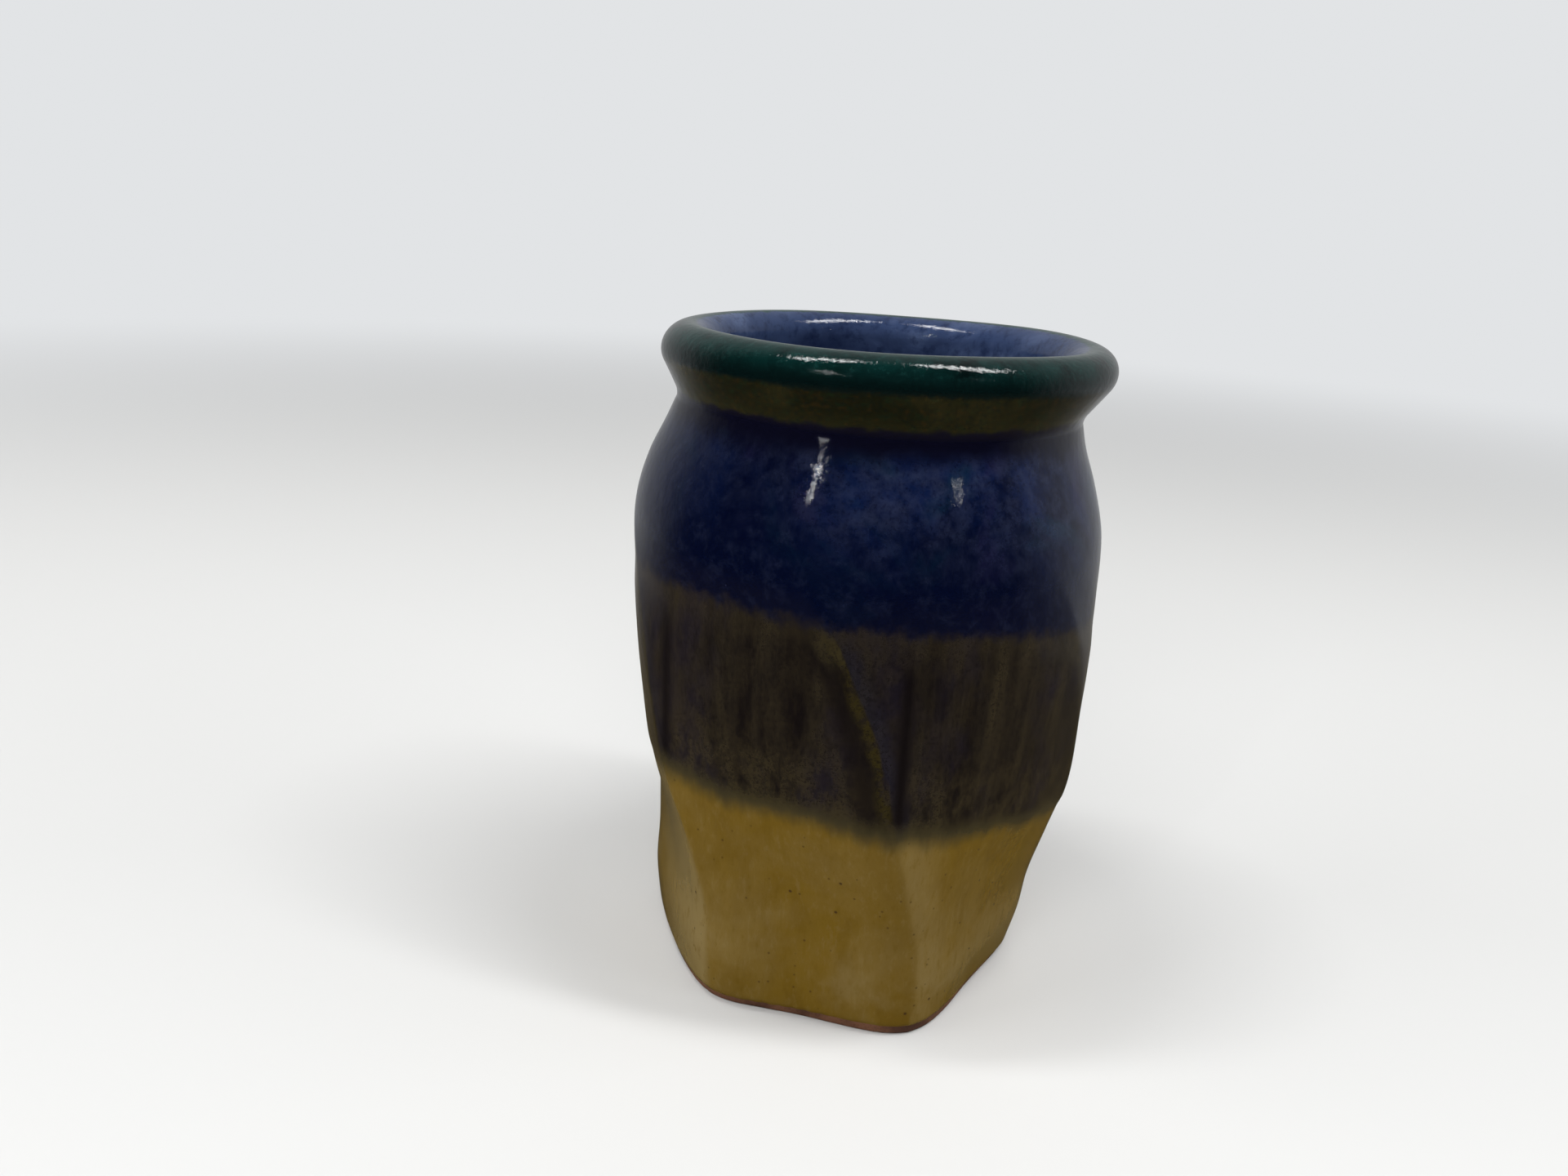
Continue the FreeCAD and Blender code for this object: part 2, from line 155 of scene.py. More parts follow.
def colour(name, description, red, green, blue):
    """A colour that a user can pick, in linear light."""
    return FloatVectorProperty(
        name=name, description=description, default=(red, green, blue), subtype="COLOR",
        size=3, min=0.0, max=1.0)


class JarSizes(bpy.types.PropertyGroup):
    """Sizes that a potter would change."""

    height: length("Height", "From the foot to the crest of the glazed lip", LIP_TOP / MM)
    foot_reach: length("Foot reach", "From the axis to a corner of the clay foot", 38.2)
    belly_reach: length("Belly reach", "From the axis to a ridge of the clay belly", 46.9)
    neck_setback: length("Neck setback", "How far the neck draws in from the belly", 8.1)
    collar_height: length("Collar height", "From the neck's crease to the top of the clay lip", 13.9)
    collar_curve: length("Collar curve", "Radius of the curve between the neck and the flare", 5.0)
    lip_overhang: length("Lip overhang", "How far the lip stands out past the neck", 4.3)
    lip_roll: length("Lip roll", "Radius of the rolled clay lip", 4.3)
    wall: length("Wall", "Thickness of the clay behind a ridge of the belly", 5.2)
    heel_wall: length("Heel wall", "Thickness of the clay behind a corner at the floor", 11.0)
    heel_curve: length("Heel curve", "Radius between the floor and the wall inside", 9.0)
    throat: length("Throat", "Radius of the turn from the hollow into the mouth", 8.0)
    foot_bevel: length("Foot bevel", "Width of the bevel round the clay foot", 0.8)
    pinch: length("Pinch", "How far the front ridge was pulled out", 2.4)
    foot_pull: length("Foot pull", "How much further the front corner of the foot was pulled", 1.6)
    foot_pull_fade: length("Foot pull fade", "How far up the foot that pull fades", 8.1)
    crest: length("Crest", "Height of the crest along each ridge", 1.1)
    hollow: length("Facet hollow", "How far each facet was pressed in between its ridges", 0.8)
    shoulder_swell: length("Shoulder swell", "How far the shoulder swells", 0.6)
    unevenness: length("Unevenness", "Height of the waves that hands left in the wall", 0.32)
    coat: length("Coat", "Thickness of one coat of glaze", 0.5)
    overlap_coat: length("Overlap coat", "Thickness where two dips ran together", 0.8)
    lower_dip: length("Lower dip", "Height at the axis of the line where the blue dip ended", 40.2)
    upper_dip: length("Upper dip", "Height at the axis of the line where the cream dip ended", 79.5)
    dip_tilt: angle("Dip tilt", "How far both dip lines slope", 9.0)
    dip_low_side: angle("Dip low side", "Direction in which both dip lines sink", 56.0)
    upper_sag: length("Upper sag", "How far the upper dip line sags in front and rises beside", 1.6)
    foot_bulge: length("Foot bulge", "How far the foot swells on the left", 1.5)
    left_drift: angle("Left drift", "How far the left ridge starts towards the front", 2.8)
    rings: length("Throwing rings", "Height of the rings that fingers left inside", 0.16)
    ring_pitch: length("Ring pitch", "From one throwing ring to the next", 6.5)
    dip_waves: length("Dip waves", "Height of the waves along each dip line", 0.5)
    dip_runs: length("Dip runs", "Height of the narrow runs along each dip line", 0.3)
    lip_waves: length("Lip waves", "How far the lip sinks in places", 0.22)
    foot_hollow: length("Foot hollow", "How far the middle of the underside is pressed in", 0.25)
    foot_rings: length("Foot rings", "Height of the turning lines on the underside", 0.05)
    wipe: length("Foot wipe", "How much higher the glaze was wiped off the front of the foot", 0.5)
    front_ridge: angle("Front ridge", "Direction of the front ridge at the foot", -70.1)
    twist: angle("Twist", "How far the ridges lean round between foot and neck", 48.0)


class JarColours(bpy.types.PropertyGroup):
    """Colours of the clay and of each glaze."""

    clay: colour("Clay", "Bare fired clay", 0.13, 0.055, 0.028)
    clay_dark: colour("Dark clay", "Iron-rich patches of the clay", 0.055, 0.022, 0.012)
    cream: colour("Cream", "Buff glaze on the lower wall", 0.13, 0.077, 0.009)
    # Light cream is also painted light, right of each ridge and on the left facet.
    cream_pale_and_painted_light: colour("Light cream", "Cloudy places in the buff glaze", 0.2, 0.148, 0.062)
    # Dark cream is also painted shade, left of each ridge.
    cream_dark_and_painted_shade: colour("Dark cream", "Runs and thin places in the buff glaze", 0.105, 0.06, 0.006)
    speck: colour("Speck", "Iron specks", 0.03, 0.016, 0.008)
    fringe: colour("Fringe", "Smoky grey-green edge of the blue dip", 0.042, 0.033, 0.014)
    band: colour("Band", "Brown of the overlap", 0.013, 0.01, 0.007)
    band_light: colour("Light band", "Pale runs in the overlap", 0.036, 0.027, 0.013)
    # Dark band is also painted shade, left of each ridge.
    band_dark_and_painted_shade: colour("Dark band", "Darkest runs in the overlap", 0.003, 0.002, 0.003)
    band_violet: colour("Violet band", "Violet clouds in the overlap", 0.01, 0.008, 0.015)
    amber: colour("Amber", "Where the overlap breaks over a ridge", 0.024, 0.018, 0.005)
    lilac: colour("Lilac", "Blue haze beside a ridge", 0.011, 0.011, 0.02)
    blue: colour("Blue", "Cobalt of the shoulder", 0.0025, 0.008, 0.04)
    # Dark blue is also painted shade, low on the left of the shoulder.
    blue_dark_and_painted_shade: colour("Dark blue", "Cobalt where it lies thick", 0.0004, 0.0015, 0.011)
    blue_teal: colour("Teal cloud", "Green cloud in the cobalt", 0.004, 0.022, 0.042)
    blue_violet: colour("Violet cloud", "Violet cloud in the cobalt", 0.014, 0.012, 0.045)
    blue_pale: colour("Pale cloud", "Grey-lilac cloud in the cobalt", 0.03, 0.038, 0.078)
    # The crease colour is painted shade under the collar as well as glaze pooled in the crease.
    crease: colour("Crease", "Glaze pooled under the collar", 0.002, 0.002, 0.008)
    # The collar's olive is mostly a painted reflection of yellow light in its green glaze.
    olive: colour("Olive", "Glaze of the collar", 0.005, 0.006, 0.002)
    # Pale olive is part of the same painted reflection, paler low on the collar.
    olive_pale_painted_reflection: colour("Pale olive", "Thin places of the collar's glaze", 0.040, 0.034, 0.011)
    olive_red: colour("Red fleck", "Red-brown flecks of the collar", 0.018, 0.011, 0.003)
    olive_green: colour("Green fleck", "Green flecks of the collar", 0.004, 0.01, 0.004)
    rim: colour("Rim", "Green glaze of the lip", 0.002, 0.02, 0.018)
    # Dark rim is also painted shade under the lip.
    rim_dark_and_painted_shade: colour("Dark rim", "Green glaze where it lies thick", 0.0006, 0.004, 0.004)
    rim_pale: colour("Pale rim", "Green glaze on the crest of the lip", 0.01, 0.05, 0.045)
    liner: colour("Liner", "Lilac-blue glaze inside", 0.03, 0.048, 0.11)
    # Dark liner is also painted shade deep in the hollow.
    liner_dark_and_painted_shade: colour("Dark liner", "Glaze low in the jar", 0.0015, 0.005, 0.028)
    liner_pale: colour("Pale liner", "Cloudy places inside", 0.09, 0.125, 0.23)


class JarStage(bpy.types.PropertyGroup):
    """Where the camera stands, and how bright the stage is."""

    camera_side: length("Camera side", "How far the camera stands to the right", -16.25)
    camera_back: length("Camera distance", "How far the camera stands in front", 231.4)
    camera_up: length("Camera height", "How high the camera stands", 151.1)
    camera_pitch: angle("Camera pitch", "How far the camera looks down", 17.87)
    camera_roll: angle("Camera roll", "How far the camera is turned about its line of sight", 3.45)
    lens: FloatProperty(
        name="Lens", description="Focal length on a 36 mm wide sensor, in millimetres",
        default=27.04)
    room: colour("Room", "Light of the room behind the jar", 0.97, 0.985, 1.0)
    backdrop: colour("Backdrop", "Pale backdrop", 0.76, 0.775, 0.79)
    floor: colour("Floor", "Pale floor", 0.74, 0.74, 0.73)
    mirrored_floor: colour("Mirrored floor", "The floor as the glaze mirrors it", 0.075, 0.06, 0.034)
    room_light: FloatProperty(
        name="Room light", description="Strength of the light from behind", default=0.36)
    lamp_light: FloatProperty(
        name="Lamp light", description="Strength of all the lamps", default=1.0)


def wrapped(angle):
    """The same direction, between half a turn back and half a turn on."""
    return (angle + math.pi) % math.tau - math.pi


def smooth_step(value, low, high):
    """0 below one value, 1 above the other, and a soft step between them."""
    share = np.clip((value - low) / (high - low), 0.0, 1.0)
    return share * share * (3 - 2 * share)


def hump(value, middle, spread):
    """1 at a middle value, and softly down to 0 on both sides of it."""
    return np.exp(-((value - middle) / spread) ** 2)


def through_rows(at, places, amounts):
    """A smooth curve through the rows of a table."""
    places = np.asarray(places, float)
    amounts = np.asarray(amounts, float)
    slopes = np.gradient(amounts, places)
    row = np.clip(np.searchsorted(places, at, side="right") - 1, 0, len(places) - 2)
    span = places[row + 1] - places[row]
    share = np.clip((at - places[row]) / span, 0.0, 1.0)
    rise = smooth_step(share, 0.0, 1.0)
    ease_out = share * (1 - share) ** 2
    ease_in = share * share * (share - 1)
    return (
        amounts[row] + (amounts[row + 1] - amounts[row]) * rise
        + span * (slopes[row] * ease_out + slopes[row + 1] * ease_in))


class Unevenness:
    """Soft waves round and up the jar, as hands leave them."""

    def __init__(self, seed, counts, lengths, waves):
        draw = np.random.default_rng(seed)
        self.counts = draw.integers(counts[0], counts[1] + 1, waves)
        self.turns = math.tau / draw.uniform(lengths[0], lengths[1], waves)
        self.turns *= draw.choice((-1, 1), waves)
        self.starts = draw.uniform(0, math.tau, waves)
        self.shares = draw.uniform(0.4, 1.0, waves)
        self.shares /= self.shares.sum()

    def at(self, height, angle):
        """The waves' height, between -1 and 1."""
        total = 0.0
        for count, turn, start, share in zip(self.counts, self.turns, self.starts, self.shares):
            total = total + share * np.sin(count * angle + turn * height + start)
        return total


class Form:
    """The jar's surfaces, worked out from the sizes in the panel.

    A place on the outside is given by how far along it lies, which is its height up to the
    neck's crease and then the way round the collar and the lip. Columns of points follow the
    ridges, so that a ridge never crosses from one column to the next.
    """

    def __init__(self, sizes):
        self.sizes = sizes
        self.from_front = np.arange(COLUMNS) * math.tau / COLUMNS
        self.ridge = np.round(self.from_front / RIDGE_STEP).astype(int) % RIDGES
        self.from_ridge = (self.from_front + RIDGE_STEP / 2) % RIDGE_STEP - RIDGE_STEP / 2
        self.ridge_share = np.array(RIDGE_SHARES)[self.ridge]
        self.clay_height = sizes.height - sizes.coat
        self.neck_up = self.clay_height - sizes.collar_height
        self.neck_reach = sizes.belly_reach - sizes.neck_setback
        self.roll_reach = self.neck_reach + sizes.lip_overhang - sizes.lip_roll
        self.roll_up = self.clay_height - sizes.lip_roll
        self.mouth = self.roll_reach - sizes.lip_roll

        rows = np.array(OUTLINE_SHARES)
        ends = np.where(np.arange(len(rows)) < BELLY_ROW, sizes.foot_reach, self.neck_reach)
        self.row_up = rows[:, 0] * self.neck_up
        self.row_reach = ends + (sizes.belly_reach - ends) * rows[:, 1]
        self.row_corner = rows[:, 2]
        self.row_side = rows[:, 3]
        self.row_turn = rows[:, 4]
        self.hands = Unevenness(7, (2, 7), (60 * MM, 160 * MM), 9)
        self.fingers = Unevenness(19, (9, 26), (14 * MM, 40 * MM), 14)
        self.dip_waves = Unevenness(5, (3, 11), (200 * MM, 300 * MM), 7)
        self.dip_runs = Unevenness(41, (24, 90), (200 * MM, 300 * MM), 16)
        self.lip_waves = Unevenness(23, (2, 5), (200 * MM, 400 * MM), 4)
        self.nominal, _, _ = self.lip_path(sizes.coat)
        self.lip_end = self.neck_up + self.nominal[-1]

    def ridge_way(self, height):
        """Direction of the front ridge at a height."""
        turn = through_rows(np.minimum(height, self.neck_up), self.row_up, self.row_turn)
        return self.sizes.front_ridge - self.sizes.twist * turn

    def ways(self, height):
        """Direction of each column of points at a height."""
        share = height / self.neck_up
        near_left = hump(wrapped(self.from_front + RIDGE_STEP), 0.0, DRIFT_SPREAD)
        drift = self.sizes.left_drift * near_left * (1 - smooth_step(share, 0.30, 0.50))
        return self.from_front + self.ridge_way(height) + drift

    def wall_reach(self, height):
        """Reach of the six-sided clay wall: six corner arcs and six bowed sides."""
        reach = through_rows(height, self.row_up, self.row_reach)
        corner = reach * through_rows(height, self.row_up, self.row_corner)
        half_side = RIDGE_STEP / 2 * through_rows(height, self.row_up, self.row_side)
        ring = np.maximum(reach - corner, 0.0)
        side = corner + ring / (2 * np.sin(half_side))
        setback = ring * math.cos(RIDGE_STEP / 2) - (side - corner) * np.cos(half_side)
        away = np.abs(self.from_ridge)
        join_way = RIDGE_STEP / 2 - half_side
        join = np.arctan2(corner * np.sin(join_way), ring + corner * np.cos(join_way))
        at_corner = ring * np.cos(away) + np.sqrt(
            np.maximum(corner ** 2 - (ring * np.sin(away)) ** 2, 0.0))
        off_side = RIDGE_STEP / 2 - away
        at_side = setback * np.cos(off_side) + np.sqrt(side ** 2 - (setback * np.sin(off_side)) ** 2)
        return np.where(away < join, at_corner, at_side)

    def pressed(self, height):
        """How far hands pinched and pressed the wall in or out."""
        sizes = self.sizes
        share = height / self.neck_up
        room = np.maximum(
            REACH_LIMIT - sizes.overlap_coat - sizes.unevenness / 2
            - through_rows(height, self.row_up, self.row_reach), LEAST_ROOM)
        pinch = sizes.pinch * np.clip((0.9 - share) / 0.6, 0.01, 1.0)
        pinch = (pinch ** -4 + room ** -4) ** -0.25
        pinch = pinch + sizes.foot_pull * np.exp(-height / sizes.foot_pull_fade)
        pinch = pinch * hump(wrapped(self.from_front), 0.0, PINCH_SPREAD)
        bulge = hump(wrapped(self.from_front - BULGE_WAY), 0.0, BULGE_SPREAD) * hump(share, 0.0, 0.18)
        faceted = 0.35 + 0.65 * smooth_step(share, 0.08, 0.34)
        faceted = faceted * (1 - smooth_step(share, 0.60, 0.84))
        cusp = np.exp(-np.sqrt(self.from_ridge ** 2 + math.radians(0.8) ** 2) / math.radians(4.5))
        crest = sizes.crest * self.ridge_share * faceted * (cusp - 0.15)
        hollow = sizes.hollow * faceted * (np.cos(self.from_ridge * RIDGES) - 1) / 2
        swell = sizes.shoulder_swell * hump(share, 0.86, 0.14) + sizes.foot_bulge * bulge
        waves = self.hands.at(height, self.from_front) - 0.6
        marks = self.fingers.at(height, self.from_front)
        return pinch + crest + hollow + swell + sizes.unevenness * (waves + 0.15 * marks)

    def lip_path(self, coat):
        """Way along, reach and height of the collar's curve, its flare and the rolled lip."""
        curve = self.sizes.collar_curve - coat
        roll = self.sizes.lip_roll + coat
        curve_reach = self.neck_reach + self.sizes.collar_curve
        across = self.roll_reach - curve_reach
        up = self.roll_up - self.neck_up
        lean = math.asin((roll + curve) / math.hypot(across, up))
        out_way = math.atan2(up, across) - lean - math.pi / 2
        in_turn = np.linspace(math.pi, math.pi + out_way, 60)
        roll_turn = np.linspace(out_way, math.pi, 300)
        reach = np.concatenate((
            curve_reach + curve * np.cos(in_turn), self.roll_reach + roll * np.cos(roll_turn)))
        height = np.concatenate((
            self.neck_up + curve * np.sin(in_turn), self.roll_up + roll * np.sin(roll_turn)))
        along = np.concatenate(((0.0,), np.cumsum(np.hypot(np.diff(reach), np.diff(height)))))
        return along, reach, height

    def inside_path(self, inset):
        """Way along, reach and height of the hollow, from the floor's middle to the mouth."""
        sizes = self.sizes
        belly = sizes.belly_reach - sizes.wall
        belly_up = INSIDE_BELLY_SHARE * self.neck_up
        floor = INSIDE_FLOOR + inset
        setback = belly - (sizes.foot_reach - sizes.heel_wall)
        low = (setback ** 2 + (belly_up - INSIDE_FLOOR) ** 2) / (2 * setback)
        run = self.mouth + sizes.throat - belly
        high = (run ** 2 + (self.neck_up - belly_up) ** 2 - sizes.throat ** 2)
        high /= 2 * (belly - self.mouth)
        heel = sizes.heel_curve - inset
        throat = sizes.throat + inset
        heel_up = floor + heel
        heel_run = math.sqrt((low - sizes.heel_curve) ** 2 - (belly_up - heel_up) ** 2)
        heel_reach = belly - low + heel_run
        heel_way = math.atan2(heel_up - belly_up, heel_reach - (belly - low))
        throat_reach = self.mouth + sizes.throat
        throat_way = math.atan2(self.neck_up - belly_up, throat_reach - (belly - high))
        pieces = []

        def add_arc(reach, height, radius, start, end, count):
            turn = np.linspace(start, end, count)
            pieces.append((reach + radius * np.cos(turn), height + radius * np.sin(turn)))

        pieces.append((np.linspace(0.3 * MM, heel_reach, 40), np.full(40, floor)))
        add_arc(heel_reach, heel_up, heel, -math.pi / 2, heel_way, 60)
        add_arc(belly - low, belly_up, low - inset, heel_way, 0.0, 160)
        add_arc(belly - high, belly_up, high - inset, 0.0, throat_way, 120)
        add_arc(throat_reach, self.neck_up, throat, math.pi + throat_way, math.pi, 60)
        rise = np.linspace(self.neck_up, self.roll_up, 30)
        pieces.append((np.full(30, self.mouth - inset), rise))
        reach = np.concatenate([piece[0] for piece in pieces])
        height = np.concatenate([piece[1] for piece in pieces])
        step = np.hypot(np.diff(reach), np.diff(height))
        keep = np.concatenate(((True,), step > 1e-7))
        reach, height = reach[keep], height[keep]
        along = np.concatenate(((0.0,), np.cumsum(np.hypot(np.diff(reach), np.diff(height)))))
        return along, reach, height

    def placed(self, reach, height, angle):
        """Points round the jar's own leaning axis."""
        share = height / self.sizes.height
        lean_up, lean_side = np.array(LEAN_ROWS).T
        side = MM * through_rows(share, lean_up, lean_side)
        lip = smooth_step(share, 0.9, 1.0)
        waves = self.lip_waves.at(height, angle)
        sunk = self.sizes.lip_waves * lip * (waves - 1)
        reach = reach * (1 + 0.004 * lip * self.lip_waves.at(height + 90 * MM, angle))
        return np.stack(
            (reach * np.cos(angle) + side, reach * np.sin(angle), height + sunk), axis=-1)

    def outside(self, along, coat):
        """Points of the outside under a coat of glaze."""
        height = np.minimum(along, self.neck_up)
        past = np.maximum(along - self.neck_up, 0.0)
        angle = self.ways(height)
        wall = self.wall_reach(height) + self.pressed(height) + coat
        over = wall - REACH_LIMIT
        wall = REACH_LIMIT + (over - np.hypot(over, self.sizes.unevenness)) / 2
        share = coat / self.sizes.coat
        thin = [np.interp(past, self.nominal, path) for path in self.lip_path(0.0)[1:]]
        full = [np.interp(past, self.nominal, path) for path in self.lip_path(self.sizes.coat)[1:]]
        lip_reach, lip_height = (bare * (1 - share) + glazed * share for bare, glazed in zip(thin, full))
        lip_reach = lip_reach + self.pressed(self.neck_up) * (1 - smooth_step(past, 0.0, 7 * MM))
        on_wall = along <= self.neck_up
        reach = np.where(on_wall, wall, lip_reach)
        up = np.where(on_wall, height, lip_height)
        return self.placed(reach, up, angle)

    def inside(self, along, inset):
        """Points of the hollow, from the middle of the floor to the mouth."""
        _, reach, height = self.inside_path(inset)
        nominal, _, _ = self.inside_path(self.sizes.coat)
        reach = np.interp(along, nominal, reach)
        height = np.interp(along, nominal, height)
        angle = self.from_front + self.ridge_way(height)
        rings = self.sizes.rings * np.sin(
            math.tau * height / self.sizes.ring_pitch + angle + 2.2 * self.hands.at(height, angle))
        rings = rings * smooth_step(reach, 6 * MM, 20 * MM)
        rings = rings * (1 - smooth_step(height, 0.82 * self.neck_up, 0.95 * self.neck_up))
        return self.placed(reach + rings, height, angle)

    def inside_end(self):
        """Way along the hollow from the floor's middle to the mouth's edge."""
        return self.inside_path(self.sizes.coat)[0][-1]

    def dip_line(self, level, seed_height):
        """How far along a sloping dip line lies in each column, with its runs."""
        slope = math.tan(self.sizes.dip_tilt)
        low_x = math.cos(self.sizes.dip_low_side)
        low_y = math.sin(self.sizes.dip_low_side)
        along = np.full(COLUMNS, level)
        for _ in range(4):
            points = self.outside(along[None, :], self.sizes.coat)[0]
            along = level - slope * (points[:, 0] * low_x + points[:, 1] * low_y)
        waves = self.sizes.dip_waves * self.dip_waves.at(seed_height, self.from_front)
        runs = self.sizes.dip_runs * self.dip_runs.at(seed_height, self.from_front)
        return along + waves + runs

    def lower_line(self):
        """The lower edge of the blue dip, with runs."""
        return self.dip_line(self.sizes.lower_dip, 0.0)

    def upper_line(self):
        """The upper edge of the cream dip under the blue."""
        flat = self.dip_line(self.sizes.upper_dip, 50 * MM)
        angle = self.from_front + self.ridge_way(self.sizes.upper_dip)
        flat = flat + self.sizes.upper_sag * np.cos(2 * (angle - SAG_WAY))
        beside = 12
        kernel = np.hanning(2 * beside + 1)
        padded = np.concatenate((flat[-beside:], flat, flat[:beside]))
        return np.convolve(padded, kernel / kernel.sum(), mode="valid")

    def foot_line(self):
        """The lower edge of the cream glaze, wiped unevenly off the foot."""
        uneven = self.dip_runs.at(120 * MM, self.from_front)
        front = self.sizes.wipe * hump(wrapped(self.from_front), 0.0, WIPE_SPREAD)
        return FOOT_EDGE + 0.2 * MM * (uneven + 1) + front

    def green_line(self):
        """The lower edge of the rim's green glaze, along the flare."""
        _, _, height = self.lip_path(self.sizes.coat)
        rising = slice(0, int(np.argmax(height)))
        past = np.interp(GREEN_EDGE, height[rising], self.nominal[rising])
        uneven = self.dip_waves.at(200 * MM, self.from_front)
        return self.neck_up + past + 0.35 * MM * uneven

    def coat_at(self, along):
        """Thickness of glaze: fat in the overlap, thin at the foot."""
        sizes = self.sizes
        over_lower = smooth_step(along - self.lower_line(), -0.2 * MM, 3.5 * MM)
        under_upper = 1 - smooth_step(along - self.upper_line(), -7.0 * MM, 0.2 * MM)
        fat = (sizes.overlap_coat - sizes.coat) * over_lower * under_upper
        edge = np.sqrt(np.clip((along - self.foot_line()) / (0.9 * MM), 0.0, 1.0))
        return (sizes.coat + fat) * (0.08 + 0.92 * edge)


def rows_between(surface, low, high, count):
    """Rows of points from one edge to another, with the surface's true normals."""
    step = 1.0 / (count - 1)
    share = np.linspace(-step, 1 + step, count + 2)[:, None]
    points = surface((low + (high - low) * share) * np.ones(COLUMNS))
    along = points[2:] - points[:-2]
    around = (np.roll(points, -1, axis=1) - np.roll(points, 1, axis=1))[1:-1]
    normals = np.cross(around, along)
    normals /= np.linalg.norm(normals, axis=2, keepdims=True)
    return points[1:-1], normals


def triple(first, second=0.0, third=0.0):
    """Three values for each point."""
    return np.stack(np.broadcast_arrays(first, second, third), axis=-1)


def closed_mesh(name, parts, poles, marks):
    """One closed mesh from rows of points that follow each other round its section.

    parts holds pairs of points and normals. poles are the two points on the axis that close
    the ends, or None where the last row joins the first. marks are named values per point.
    """
    points = np.concatenate([part[0] for part in parts])
    normals = np.concatenate([part[1] for part in parts])
    count = len(points)
    ends = np.cumsum([len(part[0]) for part in parts])
    row = np.arange(count if poles is None else count - 1)
    is_seam = np.isin(row + 1, ends)
    column = np.arange(COLUMNS)
    beside = (column + 1) % COLUMNS
    above = (row + 1) % count
    quads = np.stack((
        row[:, None] * COLUMNS + column, row[:, None] * COLUMNS + beside,
        above[:, None] * COLUMNS + beside, above[:, None] * COLUMNS + column), axis=-1)
    flat_points = points.reshape(-1, 3)
    flat_normals = normals.reshape(-1, 3)
    corner_normals = flat_normals[quads]
    seams = quads[is_seam]
    face_normals = np.cross(
        flat_points[seams[..., 2]] - flat_points[seams[..., 0]],
        flat_points[seams[..., 3]] - flat_points[seams[..., 1]])
    face_normals /= np.maximum(np.linalg.norm(face_normals, axis=-1, keepdims=True), 1e-12)
    corner_normals[is_seam] = face_normals[..., None, :]
    faces = quads.reshape(-1, 4).tolist()
    corner_normals = corner_normals.reshape(-1, 3)
    vertices = flat_points
    if poles is not None:
        vertices = np.concatenate((flat_points, np.array(poles, float)))
        start, end = len(flat_points), len(flat_points) + 1
        last = (count - 1) * COLUMNS
        faces += [(start, int(b), int(a)) for a, b in zip(column, beside)]
        faces += [(end, last + int(a), last + int(b)) for a, b in zip(column, beside)]
        down, up = (np.tile((0.0, 0.0, way), (3 * COLUMNS, 1)) for way in (-1.0, 1.0))
        corner_normals = np.concatenate((corner_normals, down, up))
    mesh = bpy.data.meshes.new(name)
    mesh.from_pydata(vertices, [], faces)
    mesh.polygons.foreach_set("use_smooth", np.ones(len(faces), bool))
    for mark, values in marks.items():
        attribute = mesh.attributes.new(mark, "FLOAT_VECTOR", "POINT")
        filled = np.zeros((len(vertices), 3), np.float32)
        values = values.reshape(-1, 3)
        filled[: len(values)] = values
        attribute.data.foreach_set("vector", filled.ravel())
    mesh.normals_split_custom_set(corner_normals.tolist())
    mesh.update()
    piece = bpy.data.objects.new(name, mesh)
    bpy.context.scene.collection.objects.link(piece)
    return piece


